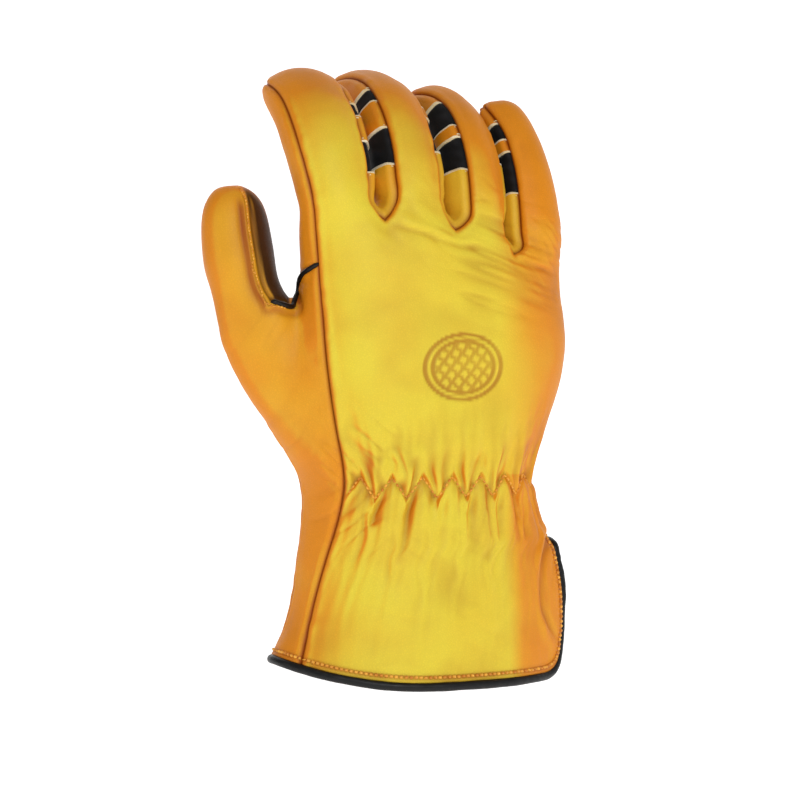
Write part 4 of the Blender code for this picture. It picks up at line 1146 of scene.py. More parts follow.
def subdivided(levels):
    """The cage as a smooth skin: points, quads, and each quad's panel and each point's marks."""
    mesh = bpy.data.meshes.new("skin")
    mesh.from_pydata([tuple(p) for p in cage.points], [], cage.faces)
    panel = mesh.attributes.new("panel", "INT", "FACE")
    panel.data.foreach_set("value", [PANEL_NAMES.index(name) for name in cage.panels])
    for name, values in (("row_level", row_level), ("back_column", back_column)):
        mesh.attributes.new(name, "FLOAT", "POINT").data.foreach_set("value", values)
    made = linked("skin", mesh)
    smoothing = made.modifiers.new("smoothing", "SUBSURF")
    smoothing.levels = smoothing.render_levels = levels
    fine = made.evaluated_get(bpy.context.evaluated_depsgraph_get()).to_mesh()
    points = np.empty(len(fine.vertices) * 3)
    fine.vertices.foreach_get("co", points)
    quads = np.empty(len(fine.loops), dtype=np.int64)
    fine.loops.foreach_get("vertex_index", quads)
    marks = {}
    for name, kind, count in (("panel", np.int32, len(fine.polygons)),
                              ("row_level", np.float32, len(fine.vertices)),
                              ("back_column", np.float32, len(fine.vertices))):
        marks[name] = np.empty(count, dtype=kind)
        fine.attributes[name].data.foreach_get("value", marks[name])
    bpy.data.objects.remove(made)
    return points.reshape(-1, 3), quads.reshape(-1, 4), marks


def skin_normals(points, quads):
    """The outward direction at each point of a skin of quads."""
    a, b, c, d = (points[quads[:, k]] for k in range(4))
    facing = np.cross(c - a, d - b)
    total = np.zeros_like(points)
    for k in range(4):
        np.add.at(total, quads[:, k], facing)
    return total / np.maximum(np.linalg.norm(total, axis=1, keepdims=True), 1e-12)


skin, quads, marks = subdivided(FINE)
normals = skin_normals(skin, quads)
panel_of_quad = marks["panel"]
print("skin:", len(skin), "points,", len(quads), "quads")

# %% [markdown]
# ## Where the seams run
# A seam is where two panels meet. Each edge of a quad runs one way in its own panel and the other
# way in the neighbour, so matching both finds all the seams, and chaining them gives the paths
# that thread, piping and binding follow later.

# %% Seam edges and chains
def seam_edges(quads, panels, count):
    """Edges whose two sides differ: start, end, own panel, and the other panel or -1."""
    start = quads.ravel()
    end = np.roll(quads, -1, axis=1).ravel()
    own = np.repeat(panels, 4)
    key, twin = start * count + end, end * count + start
    order = np.argsort(key)
    at = np.clip(np.searchsorted(key[order], twin), 0, len(key) - 1)
    other = np.where(key[order][at] == twin, own[order][at], -1)
    differ = own != other
    return start[differ], end[differ], own[differ], other[differ]


edge_start, edge_end, edge_own, edge_other = seam_edges(quads, panel_of_quad, len(skin))


def numbers_of(names):
    return [-1 if name == "rim" else PANEL_NAMES.index(name) for name in names]


def chains(own_name, other_names):
    """Paths along a panel's own edges towards the named panels, or towards the open rim."""
    beside_others = np.isin(edge_other, numbers_of(other_names))
    chosen = (edge_own == PANEL_NAMES.index(own_name)) & beside_others
    after = dict(zip(edge_start[chosen].tolist(), edge_end[chosen].tolist()))
    found = []
    while after:
        starts = set(after) - set(after.values())
        path = [min(starts) if starts else min(after)]
        while path[-1] in after:
            path.append(after.pop(path[-1]))
        found.append(path)
    return found


def seam_kind(a, b):
    """How two panels are sewn: lapped, with a raised edge, or turned in so a groove shows."""
    if b < 0:
        return "rim"
    pair = {PANEL_NAMES[a], PANEL_NAMES[b]}
    if all(name.startswith("gusset") for name in pair):
        return "lap"
    return "ridge" if pair == {"thumb_panel", "thumb_front"} else "groove"


kinds = {pair: seam_kind(*pair) for pair in set(zip(edge_own.tolist(), edge_other.tolist()))}
edge_kind = np.array([kinds[pair] for pair in zip(edge_own.tolist(), edge_other.tolist())])
for kind in ("groove", "ridge", "lap", "rim"):
    print(kind, int((edge_kind == kind).sum()), "edges")


# %% [markdown]
# ## Relief of the leather
# The relief is pushed into the fine skin along its normals: grooves where seams are turned in, a
# raised edge along the thumb, fullness at the crotches, gathers under the elastic, creases over the
# knuckles and the wrist, and slow unevenness over the rest. Each is a formula of a distance or of
# smooth noise, so the same script always gives the same wrinkles.

# %% Distances and noise
FAR = 12 * MM


def distance_to(kind):
    """For each point of the skin, its distance to the nearest seam of one kind, up to FAR."""
    chosen = edge_kind == kind
    a, b = skin[edge_start[chosen]], skin[edge_end[chosen]]
    samples = np.concatenate([a + (b - a) * t for t in (0, 0.33, 0.67)])
    tree = KDTree(len(samples))
    for i, point in enumerate(samples):
        tree.insert(point, i)
    tree.balance()
    return np.array([min(FAR, tree.find(point)[2]) for point in skin])


def noise(points, size, seed):
    """Smooth noise from -1 to 1 with bumps about this size."""
    grid = points / size
    cell = np.floor(grid).astype(np.int64)
    t = grid - cell
    t = t * t * (3 - 2 * t)
    total = np.zeros(len(points))
    for corner in itertools.product((0, 1), repeat=3):
        x, y, z = (cell + np.array(corner)).T
        mixed = (x * 73856093) ^ (y * 19349663) ^ (z * 83492791) ^ (seed * 2654435761)
        mixed = ((mixed ^ (mixed >> 13)) * 1274126177) & 0xFFFFFFFF
        value = ((mixed ^ (mixed >> 16)) & 0xFFFF) / 32767.5 - 1
        total += value * np.prod(np.where(corner, t, 1 - t), axis=1)
    return total


def bell(x):
    return np.exp(-x * x)


def points_of(*names):
    """Which points of the skin belong to the named panels."""
    held = np.zeros(len(skin), bool)
    held[np.unique(quads[np.isin(panel_of_quad, numbers_of(names))])] = True
    return held


CROTCH_PIECES = [name for name in PANEL_NAMES if name.endswith("crotch")]
groove, ridge, rim = (distance_to(kind) for kind in ("groove", "ridge", "rim"))
level, column = marks["row_level"], marks["back_column"]
on_back, on_crotch = points_of("back_panel"), points_of(*CROTCH_PIECES)
print("distances measured for", len(skin), "points")

# %% Seam relief
GROOVE_DEPTH, GROOVE_WIDTH = 0.68 * MM, 0.6 * MM
CROTCH_BULGE = 0.6 * MM  # the soft leather there fills the gap
ROLL_HEIGHT, ROLL_AT, ROLL_WIDTH = 0.32 * MM, 2.2 * MM, 1.4 * MM
THUMB_TOP = 175 * MM  # the ridge runs out below it
RIDGE_HEIGHT, RIDGE_WIDTH = 0.9 * MM, 1.1 * MM
RIDGE_DITCH_AT, RIDGE_DITCH = 2.3 * MM, 0.6 * MM

relief = -GROOVE_DEPTH * bell(groove / GROOVE_WIDTH)
relief += ROLL_HEIGHT * bell((groove - ROLL_AT) / ROLL_WIDTH)
relief += CROTCH_BULGE * on_crotch * ease(groove / (3 * MM))
ridge_fade = ease((THUMB_TOP - skin[:, 2]) / (7 * MM))
relief += RIDGE_HEIGHT * ridge_fade * bell(ridge / RIDGE_WIDTH)
relief -= RIDGE_DITCH * ridge_fade * bell((ridge - RIDGE_DITCH_AT) / (0.8 * MM))
pucker_wave = noise(skin, 3.2 * MM, 5) * bell((groove - 1.5 * MM) / (2.0 * MM))
relief += 0.22 * MM * pucker_wave
print("seam relief from", round(relief.min() / MM, 2), "to", round(relief.max() / MM, 2), "mm")

# %% Gathers at the wrist
PULL_DEPTH, PULL_WIDTH = 0.55 * MM, 1.0 * MM
COLUMN_STEP = 3.1 * MM  # between two columns of the back at the wrist
PLEATS = [  # pleats for each gather, depth, and reach below and above the stitches
    (1, 0.9 * MM, 9 * MM, 6 * MM),
    (2, 0.5 * MM, 15 * MM, 9 * MM),
    (3, 0.26 * MM, 22 * MM, 13 * MM),
]


def zigzag(column):
    """Height of the zigzag stitching above the wrist line, at a column of the back."""
    phase = np.mod(np.asarray(column, float) / 4, 1)
    return STITCH_RISE * (1 - 4 * np.abs(phase - 0.5))


def above_wrist(level):
    return (level - 1) * np.where(level < 1, CUFF_LENGTH, HAND_LENGTH)


height_over = above_wrist(level) - zigzag(column)
inside = on_back * ease(np.minimum(column, BACK_COLUMNS * len(FINGERS) - column) / 1.5)
across = np.abs(height_over) * 0.8
relief -= PULL_DEPTH * bell(across / PULL_WIDTH) * inside
sway = 0.35 * noise(np.stack([column * COLUMN_STEP, height_over, 0 * column], 1), 7 * MM, 11)
for count, depth, below, above in PLEATS:
    reach = np.where(height_over < 0, below, above)
    fold = np.cos(2 * math.pi * count * (column / 4 + sway / count))
    side = np.where(height_over < 0, 1, -1) if count == 1 else 1
    fade = np.exp(-np.abs(height_over) / reach) * ease(np.abs(height_over) / (1.2 * MM))
    relief += depth * side * fold * fade * inside
print("zigzag of", GATHERS, "gathers,", 2 * STITCH_RISE / MM, "mm high")

# %% Creases and unevenness
CREASE_COLUMNS = ("x", "y", "z", "reach", "angle", "spacing", "length", "depth")
CREASES = [  # places, reaches, spacings and depths in millimetres; angle of the creases in degrees
    (-30, -16, 82, 14, -42, 3.2, 14, 0.5),
    (-33, -14, 58, 14, 40, 3.8, 15, 0.26),
    (10, -20, 60, 30, 65, 4.5, 22, 0.16),
    (30, -14, 40, 22, 80, 4.0, 20, 0.22),
    (-5, -26, 25, 34, -30, 5.5, 18, 0.14),
    (42, -8, 78, 16, 60, 3.6, 14, 0.22),
    (26, -14, 150, 27, -18, 3.0, 22, 0.42),
    (-4, -16, 163, 16, -35, 3.0, 14, 0.30),
    (50, -2, 148, 15, -50, 2.6, 16, 0.34),
    (-58, 2, 112, 22, 55, 4.2, 16, 0.16),
    (-44, 4, 84, 16, 70, 3.6, 16, 0.22),
    (0, 30, 110, 40, 20, 6.0, 30, 0.45),
    (-30, 28, 95, 26, 60, 5.0, 26, 0.45),
    (10, 26, 70, 40, 4, 4.2, 26, 0.40),
    (4, 28, 146, 34, 8, 4.6, 30, 0.45),
]


def turned_flat(points, x, z, degrees):
    """Lengths along and across a line through x and z, at this angle, seen from the back."""
    c, s = math.cos(math.radians(degrees)), math.sin(math.radians(degrees))
    right, up = points[:, 0] - x, points[:, 2] - z
    return right * c + up * s, up * c - right * s


def creases(points, x, y, z, reach, angle, spacing, length, depth, seed):
    """Fine folds round a place, long one way and close together the other way."""
    middle = np.array([x, y, z]) * MM
    along, across = turned_flat(points, middle[0], middle[2], angle)
    flat = np.stack([along / length, across / spacing, points[:, 1] / (2 * length)], 1) / MM
    wave = noise(flat, 1.0, seed)
    away = np.linalg.norm(points - middle, axis=1) / (reach * MM)
    return depth * MM * (0.35 * wave - bell(wave / 0.22)) * np.exp(-away**3)


KNUCKLE_FOLD = ((-17 * MM, 161.6 * MM), (54 * MM, 142.5 * MM))  # x and z of its ends
KNUCKLE_DEPTH = 0.55 * MM


def knuckle_fold(points):
    """The long soft fold that the bent fingers push up across the knuckles."""
    (x0, z0), (x1, z1) = KNUCKLE_FOLD
    length = math.hypot(x1 - x0, z1 - z0)
    along = ((points[:, 0] - x0) * (x1 - x0) + (points[:, 2] - z0) * (z1 - z0)) / length
    off = ((points[:, 2] - z0) * (x1 - x0) - (points[:, 0] - x0) * (z1 - z0)) / length
    off = off + 0.9 * MM * noise(points, 9 * MM, 61)
    fade = ease(along / (8 * MM)) * ease((length - along) / (10 * MM))
    return KNUCKLE_DEPTH * (bell((off - 2.4 * MM) / (2.4 * MM)) - bell(off / (1.1 * MM))) * fade


EAR_FOLD = (66 * MM, 30 * MM, 26 * MM)  # x and z of the middle of its arc, and the arc's radius
EAR_DEPTH = 0.9 * MM


def ear_fold(points):
    """The curved fold where the cuff turns out beside the vent."""
    x, z, radius = EAR_FOLD
    off = np.hypot(points[:, 0] - x, points[:, 2] - z) - radius
    off = off + 0.6 * MM * noise(points, 8 * MM, 62)
    fade = ease((26 * MM - np.abs(points[:, 2] - z - 2 * MM)) / (12 * MM))
    fade = fade * ease((points[:, 0] - 36 * MM) / (5 * MM))
    return EAR_DEPTH * (bell((off - 3 * MM) / (2.2 * MM)) - bell(off / (1.6 * MM))) * fade


relief += (knuckle_fold(skin) + ear_fold(skin)) * on_back
for seed, row in enumerate(CREASES):
    found = creases(skin, seed=seed + 40, **dict(zip(CREASE_COLUMNS, row)))
    relief += found * ease(groove / (1.5 * MM))
relief += 0.30 * MM * noise(skin, 16 * MM, 2) + 0.12 * MM * noise(skin, 7 * MM, 3)
print(len(CREASES), "groups of creases")

# %% [markdown]
# ## The pressed mark on the back
# Such gloves often have a mark pressed into the back of the hand. Here it is a plain oval ring
# with a lattice inside, which stands for no name. It is pressed into the mesh itself, about a
# third of a millimetre deep with soft edges, as a heated die leaves it in leather.

# %% Pressed mark
MARK_AT = (8 * MM, 111 * MM)
MARK_HALF = (15 * MM, 11.5 * MM)
MARK_TILT = 4
MARK_DEPTH = 0.34 * MM
MARK_LINE = 0.75 * MM


def soft_line(distance):
    """1 on a pressed line and 0 beside it, with soft shoulders."""
    return 1 - ease((np.abs(distance) - MARK_LINE / 2) / (0.6 * MM))


u, v = turned_flat(skin, *MARK_AT, MARK_TILT)
round_out = np.hypot(u / MARK_HALF[0], v / MARK_HALF[1])
outer_ring = soft_line((round_out - 1) * MARK_HALF[1])
inner_ring = soft_line((round_out - 0.8) * MARK_HALF[1])
lattice = np.maximum(*(
    soft_line((np.mod((u + s * v) / (5 * MM) + 0.5, 1) - 0.5) * 5 * MM / 1.414) for s in (1, -1)
)) * (round_out < 0.8)
pressed = np.maximum(np.maximum(outer_ring, inner_ring), 0.8 * lattice)
pressed = pressed * on_back * (level > 1.1) * (level < 1.9)
relief -= MARK_DEPTH * pressed
print("pressed mark", 2 * MARK_HALF[0] / MM, "by", 2 * MARK_HALF[1] / MM, "mm")

# %% Put the relief on the skin
shaped = skin + normals * relief[:, None]
out = skin_normals(shaped, quads)
surface = BVHTree.FromPolygons(shaped.tolist(), quads.tolist())
print("shaped skin box in mm:", (shaped.min(0) / MM).round(), (shaped.max(0) / MM).round())

# %% [markdown]
# ## Helpers for materials
# One function turns the sRGB colours that a colour picker shows into the linear values that
# shaders work in, and one small function adds a node with its settings and links. Pattern scales
# are worked out from real sizes, because the coordinates of these pieces are metres.

# %% Colour and node helpers
def colour(code):
    """Linear red, green, blue and alpha of an sRGB hex colour."""
    parts = [int(code[i:i + 2], 16) / 255 for i in (1, 3, 5)]
    return tuple(p / 12.92 if p <= 0.04045 else ((p + 0.055) / 1.055) ** 2.4 for p in parts) + (1,)


def new_material(name):
    """A material with only its Principled shader: the material, its tree and the shader."""
    made = bpy.data.materials.new(name)
    made.use_nodes = True
    return made, made.node_tree, made.node_tree.nodes["Principled BSDF"]


def add(tree, kind, inputs, **settings):
    """A new node. inputs gives each socket, by name or number, its value or what links to it."""
    made = tree.nodes.new("ShaderNode" + kind)
    for name, value in settings.items():
        setattr(made, name, value)
    for socket, value in inputs.items():
        if isinstance(value, bpy.types.NodeSocket):
            tree.links.new(value, made.inputs[socket])
        else:
            made.inputs[socket].default_value = value
    return made.outputs


MIX_A, MIX_B, MIXED = 6, 7, 2  # a Mix node's colour sockets, and its colour result
FROM_LOW, FROM_HIGH, TO_LOW, TO_HIGH = 1, 2, 3, 4  # a Map Range node's sockets


def per_size(size):
    """A texture's scale that gives features of this size, in metres."""
    return 1 / size


# %% [markdown]
# ## Golden grain leather
# The panels are full-grain cowhide, coloured through with a transparent golden aniline dye and
# lightly waxed. The material mixes a warm yellow with orange: painted side shade, orange where the
# leather turns away from the front, with a little random tone of the hide. Folds, grooves and
# stitch lines get painted shade in a darker orange, and the thumb's inner face a dark painted
# shadow. The leather has a fine pebbled grain with pores about a millimetre apart, hair-fine
# creases, and a soft, broad gloss. The grain is a cell pattern bent by noise, which looks like
# skin, and not a woven or printed one.

# %% Golden aniline leather
GRAIN = 0.8 * MM
PORE = 0.5 * MM
FINE_CREASE = 5 * MM


def golden_leather():
    made, tree, shader = new_material("golden_aniline_grain_leather")
    place = add(tree, "TexCoord", {})["Object"]
    bent = add(
        tree, "TexNoise", {"Vector": place, "Scale": per_size(3 * MM), "Detail": 2.0},
    )["Color"]
    shifted = add(tree, "VectorMath", {0: bent, 1: (0.5, 0.5, 0.5)}, operation="SUBTRACT")["Vector"]
    shift = add(tree, "VectorMath", {0: shifted, "Scale": 1.1 * MM}, operation="SCALE")["Vector"]
    warped = add(tree, "VectorMath", {0: place, 1: shift}, operation="ADD")["Vector"]
    cells = add(
        tree, "TexVoronoi", {"Vector": warped, "Scale": per_size(GRAIN)},
        feature="DISTANCE_TO_EDGE",
    )["Distance"]
    pebble = add(
        tree, "MapRange", {"Value": cells, FROM_HIGH: 0.35}, interpolation_type="SMOOTHSTEP",
    )
    pores = add(tree, "TexNoise", {"Vector": place, "Scale": per_size(PORE), "Detail": 3.0})["Fac"]
    folds = add(
        tree, "TexNoise",
        {"Vector": warped, "Scale": per_size(FINE_CREASE), "Detail": 5.0, "Roughness": 0.55},
        noise_type="RIDGED_MULTIFRACTAL",
    )["Fac"]
    patches = add(
        tree, "TexNoise", {"Vector": place, "Scale": per_size(24 * MM), "Detail": 4.0},
    )["Fac"]
    # Painted shade: darker in folds, grooves, the pressed mark, the hem's stitch row, the seams'
    # lips and beside the thumb's ridge
    deep = add(tree, "Attribute", {}, attribute_name="deep")["Fac"]
    # Painted side shade, with a little random hide tone
    aside = add(tree, "Attribute", {}, attribute_name="aside")["Fac"]
    # Painted shadow on the thumb's inner face
    oiled = add(tree, "Attribute", {}, attribute_name="oiled")["Fac"]

    # Random hide patches plus painted side shade: yellow, #E3CC38, where the leather faces the
    # front, orange, #E28A0E, where it turns away
    tone = add(
        tree, "MapRange",
        {"Value": patches, FROM_LOW: 0.40, FROM_HIGH: 0.75, TO_LOW: 0.0, TO_HIGH: 0.16},
    )["Result"]
    tone = add(tree, "Math", {0: tone, 1: aside}, operation="ADD", use_clamp=True)["Value"]
    hide_tone_and_side_shade = add(
        tree, "Mix", {"Factor": tone, MIX_A: colour("#E3CC38"), MIX_B: colour("#E28A0E")},
        data_type="RGBA",
    )[MIXED]
    # Painted shade in a darker orange, #9C4A02
    with_painted_shade = add(
        tree, "Mix", {"Factor": deep, MIX_A: hide_tone_and_side_shade, MIX_B: colour("#9C4A02")},
        data_type="RGBA",
    )[MIXED]
    # Painted shadow, #2A0D00, on the thumb's inner face
    with_painted_shade = add(
        tree, "Mix", {"Factor": oiled, MIX_A: with_painted_shade, MIX_B: colour("#2A0D00")},
        data_type="RGBA",
    )[MIXED]
    grained = add(
        tree, "MapRange", {"Value": pebble["Result"], TO_LOW: 0.93, TO_HIGH: 1.0},
    )["Result"]
    shaded = add(
        tree, "Mix", {"Factor": 1.0, MIX_A: with_painted_shade, MIX_B: grained},
        data_type="RGBA", blend_type="MULTIPLY",
    )[MIXED]
    tree.links.new(shaded, shader.inputs["Base Color"])

    gloss = add(
        tree, "MapRange",
        {"Value": pores, FROM_LOW: 0.3, FROM_HIGH: 0.7, TO_LOW: 0.46, TO_HIGH: 0.6},
    )["Result"]
    tree.links.new(gloss, shader.inputs["Roughness"])
    relief = add(tree, "Bump", {"Height": folds, "Strength": 0.35, "Distance": 0.25 * MM})["Normal"]
    relief = add(
        tree, "Bump",
        {"Height": pebble["Result"], "Strength": 0.35, "Distance": 0.07 * MM, "Normal": relief},
    )["Normal"]
    relief = add(
        tree, "Bump", {"Height": pores, "Strength": 0.3, "Distance": 0.05 * MM, "Normal": relief},
    )["Normal"]
    tree.links.new(relief, shader.inputs["Normal"])
    shader.inputs["IOR"].default_value = 1.5
    shader.inputs["Coat Weight"].default_value = 0.04
    shader.inputs["Specular IOR Level"].default_value = 0.25
    shader.inputs["Coat Roughness"].default_value = 0.35
    return made


LEATHER = golden_leather()
print("made", LEATHER.name)

# %% [markdown]
# ## The flesh side and the cut edge
# Inside the cuff shows the flesh side: the same hide split and brushed to a short nap, paler and
# without gloss. Where the leather is cut and not turned in, as beside the fabric strips, its
# undyed core shows as a cream line of loose fibres.

# %% Brushed flesh side and cut edge
def napped(name, light, dark, fibre):
    """Brushed fibres: two tones, no gloss, and a fine uneven surface."""
    made, tree, shader = new_material(name)
    place = add(tree, "TexCoord", {})["Object"]
    cloud = add(
        tree, "TexNoise", {"Vector": place, "Scale": per_size(6 * MM), "Detail": 4.0},
    )["Fac"]
    nap = add(
        tree, "TexNoise",
        {"Vector": place, "Scale": per_size(fibre), "Detail": 4.0, "Roughness": 0.7},
    )["Fac"]
    mixed = add(tree, "Math", {0: cloud, 1: nap}, operation="MULTIPLY")["Value"]
    tone = add(tree, "MapRange", {"Value": mixed, FROM_LOW: 0.15, FROM_HIGH: 0.38})["Result"]
    worn = add(
        tree, "Mix", {"Factor": tone, MIX_A: colour(dark), MIX_B: colour(light)},
        data_type="RGBA",
    )[MIXED]
    tree.links.new(worn, shader.inputs["Base Color"])
    relief = add(tree, "Bump", {"Height": nap, "Strength": 0.6, "Distance": 0.15 * MM})["Normal"]
    tree.links.new(relief, shader.inputs["Normal"])
    shader.inputs["Roughness"].default_value = 0.9
    shader.inputs["Sheen Weight"].default_value = 0.3
    return made


FLESH_SIDE = napped("brushed_flesh_side_leather", "#DFAE5E", "#B97E31", 0.5 * MM)
CUT_EDGE = napped("undyed_cut_edge_leather", "#F6EBCB", "#D9BE86", 0.4 * MM)
print("made", FLESH_SIDE.name, "and", CUT_EDGE.name)

# %% [markdown]
# ## Black stretch fabric
# The dark strips between the fingers are a knitted nylon and elastane fabric, with hardly any gloss
# and a faint grey sheen where the threads catch the light. Its stitches, about 0.7 mm apart, are
# too fine for the picture, so the soft ribs that a stretched knit shows are drawn, about 4.4 mm
# apart. Two crossed waves, bent a little by noise, draw them.

# %% Knitted nylon fabric
KNIT_RIB = 4.398 * MM
WAVES = 20 / (2 * math.pi)  # a Wave texture has this many in one unit at a scale of 1


def knitted_nylon():
    made, tree, shader = new_material("black_knitted_nylon")
    place = add(tree, "TexCoord", {})["Object"]
    scale = per_size(KNIT_RIB) / WAVES
    waves = {"Vector": place, "Scale": scale, "Distortion": 1.2, "Detail": 1.0}
    courses = add(tree, "TexWave", waves, bands_direction="Z", wave_profile="SIN")["Fac"]
    wales = add(tree, "TexWave", waves, bands_direction="X", wave_profile="SIN")["Fac"]
    knit = add(tree, "Math", {0: courses, 1: wales}, operation="MULTIPLY")["Value"]
    threads = add(
        tree, "Mix", {"Factor": knit, MIX_A: colour("#050506"), MIX_B: colour("#141417")},
        data_type="RGBA",
    )[MIXED]
    tree.links.new(threads, shader.inputs["Base Color"])
    relief = add(tree, "Bump", {"Height": knit, "Strength": 0.8, "Distance": 0.2 * MM})["Normal"]
    tree.links.new(relief, shader.inputs["Normal"])
    shader.inputs["Roughness"].default_value = 0.75
    shader.inputs["Sheen Weight"].default_value = 0.06
    shader.inputs["Sheen Roughness"].default_value = 0.4
    shader.inputs["Specular IOR Level"].default_value = 0.25
    return made


FABRIC = knitted_nylon()
print("made", FABRIC.name)

# %% [markdown]
# ## Black rolled leather and thread
# The hem's binding and the piping at the thumb are thin black goatskin, rolled and sewn. They have
# a tighter grain and more gloss than the panels. The thread is bonded polyester, twisted from
# three strands: golden where it should not show, and cream beside the fabric strips. The twist is
# too fine for the picture, so its two tones are drawn as slanting bands that change the colour a
# little from stitch to stitch.

# %% Black goatskin
def black_goatskin():
    made, tree, shader = new_material("black_rolled_goatskin")
    place = add(tree, "TexCoord", {})["Object"]
    cells = add(
        tree, "TexVoronoi", {"Vector": place, "Scale": per_size(0.7 * MM)},
        feature="SMOOTH_F1",
    )["Distance"]
    folds = add(
        tree, "TexNoise", {"Vector": place, "Scale": per_size(4 * MM), "Detail": 5.0},
    )["Fac"]
    worn = add(tree, "MapRange", {"Value": folds, FROM_LOW: 0.4, FROM_HIGH: 0.75})["Result"]
    tone = add(
        tree, "Mix", {"Factor": worn, MIX_A: colour("#050505"), MIX_B: colour("#111113")},
        data_type="RGBA",
    )[MIXED]
    tree.links.new(tone, shader.inputs["Base Color"])
    gloss = add(
        tree, "MapRange",
        {"Value": folds, FROM_LOW: 0.3, FROM_HIGH: 0.7, TO_LOW: 0.34, TO_HIGH: 0.55},
    )["Result"]
    tree.links.new(gloss, shader.inputs["Roughness"])
    shader.inputs["Specular IOR Level"].default_value = 0.3
    relief = add(tree, "Bump", {"Height": folds, "Strength": 0.5, "Distance": 0.5 * MM})["Normal"]
    relief = add(
        tree, "Bump", {"Height": cells, "Strength": 0.5, "Distance": 0.08 * MM, "Normal": relief},
    )["Normal"]
    tree.links.new(relief, shader.inputs["Normal"])
    return made


GOATSKIN = black_goatskin()
print("made", GOATSKIN.name)


# %% Bonded thread
TONE_BAND = 3.628 * MM
SLANT_WAVES = 10 * math.sqrt(3) / (2 * math.pi)  # as WAVES, along the slant


def bonded_thread(name, light, dark):
    """Bands of two tones at a slant, with a dull gloss."""
    made, tree, shader = new_material(name)
    place = add(tree, "TexCoord", {})["Object"]
    twist = add(
        tree, "TexWave",
        {"Vector": place, "Scale": per_size(TONE_BAND) / SLANT_WAVES, "Distortion": 2.0},
        bands_direction="DIAGONAL",
    )["Fac"]
    tone = add(
        tree, "Mix", {"Factor": twist, MIX_A: colour(dark), MIX_B: colour(light)},
        data_type="RGBA",
    )[MIXED]
    tree.links.new(tone, shader.inputs["Base Color"])
    relief = add(tree, "Bump", {"Height": twist, "Strength": 0.5, "Distance": 0.1 * MM})["Normal"]
    tree.links.new(relief, shader.inputs["Normal"])
    shader.inputs["Roughness"].default_value = 0.55
    return made


GOLDEN_THREAD = bonded_thread("golden_bonded_thread", "#F0AE3C", "#CB7C1E")
CREAM_THREAD = bonded_thread("cream_bonded_thread", "#EADDB4", "#C7A765")
print("made", GOLDEN_THREAD.name, "and", CREAM_THREAD.name)

# %% [markdown]
# ## Floor
# The floor is a roll of matt white studio paper.

# %% Studio paper
PAPER_GLOW = 0.6  # lit from behind, so that the picture's ground is plain white


def studio_paper():
    made, tree, shader = new_material("matt_studio_paper")
    fibres = add(tree, "TexNoise", {"Scale": per_size(40 * MM), "Detail": 3.0})["Fac"]
    tone = add(
        tree, "Mix", {"Factor": fibres, MIX_A: colour("#F7F7F7"), MIX_B: colour("#FFFFFF")},
        data_type="RGBA",
    )[MIXED]
    tree.links.new(tone, shader.inputs["Base Color"])
    shader.inputs["Roughness"].default_value = 0.95
    shader.inputs["Emission Color"].default_value = (1, 1, 1, 1)
    shader.inputs["Emission Strength"].default_value = PAPER_GLOW
    return made


floor.data.materials.append(studio_paper())
print("floor covered")

# %% [markdown]
# ## Where the leather darkens
# Folds, grooves, the pressed mark, the hem's stitch row and a strip beside the thumb's ridge get
# painted shade, a darker orange. The sides of the hand and the fingers, which turn away from the
# front, get painted side shade in orange beside the yellow flat of the back; it grows towards the
# little finger's side and over the upper fingers, and a little random tone of the hide lies over
# it. The thumb's inner face gets a dark painted shadow. Each tone is a number from 0 to 1 at each
# point of the skin, which the leather's material reads as an attribute.

# %% Tones of the leather
# Painted shade for a dip of FOLD_DEPTH and for the pressed mark; the least painted side shade off
# the back, and a fixed tone on the crotch pieces
FOLD_SHADE, FOLD_DEPTH = 0.6, 1.1 * MM
MARK_SHADE = 0.42
SIDE_TONE, CROTCH_TONE = 0.75, 0.5
CUFF_TOP = 72 * MM
WEB_TOP = 126 * MM


def from_to(values, low, high):
    """0 up to a value of low, 1 from high on, and smooth between; both in millimetres."""
    return ease((values - low * MM) / ((high - low) * MM))


def along_line(distance, away, width):
    """1 at this distance from a line, fading to both sides; both in millimetres."""
    return bell((distance - away * MM) / (width * MM))


x, y, z = skin.T
# Painted shade: darker where the relief dips, in the pressed mark, along the grooves, along the
# hem's stitch row and at the hem's edge
painted_shade_tone = np.clip(-relief / FOLD_DEPTH, 0, 1) * FOLD_SHADE + MARK_SHADE * pressed
painted_shade_tone += 0.2 * along_line(groove, 0, 1.2) + 0.5 * along_line(groove, 0, 0.6)
painted_shade_tone += 0.75 * along_line(rim, 2, 0.7) + 0.3 * along_line(rim, 0, 1.5)
above_web = ease((z - WEB_TOP) / (10 * MM))
# Painted shade in the strip beside the thumb's ridge
shade_beside_ridge = 0.9 * along_line(ridge, 1.3, 0.6) + 0.25 * along_line(ridge, 1.5, 3.5)
shade_beside_ridge *= from_to(-y, -15, -9) * ease((THUMB_TOP - z) / (8 * MM))
painted_shade_tone = np.clip(painted_shade_tone + shade_beside_ridge * above_web * points_of("thumb_panel"), 0, 1)

# Painted side shade: orange where the skin turns away from the front, towards the little finger's
# side and over the upper fingers. Panels off the back get at least SIDE_TONE, the crotch pieces a
# fixed tone, and a little random hide tone lies over all.
side_shade_and_hide_tone = ease((0.97 + out[:, 1]) / 0.5)
side_shade_and_hide_tone += 0.8 * np.where(z < CUFF_TOP, from_to(x, 22, 31), from_to(x, 18, 42))
side_shade_and_hide_tone += 0.6 * from_to(z, 156, 180) * from_to(x, -14, 18)
side_shade_and_hide_tone = np.where(on_back, side_shade_and_hide_tone, np.maximum(SIDE_TONE, side_shade_and_hide_tone))
side_shade_and_hide_tone = np.where(on_crotch, CROTCH_TONE, side_shade_and_hide_tone)
side_shade_and_hide_tone = np.clip(side_shade_and_hide_tone + 0.15 * noise(skin, 18 * MM, 71), 0, 1)

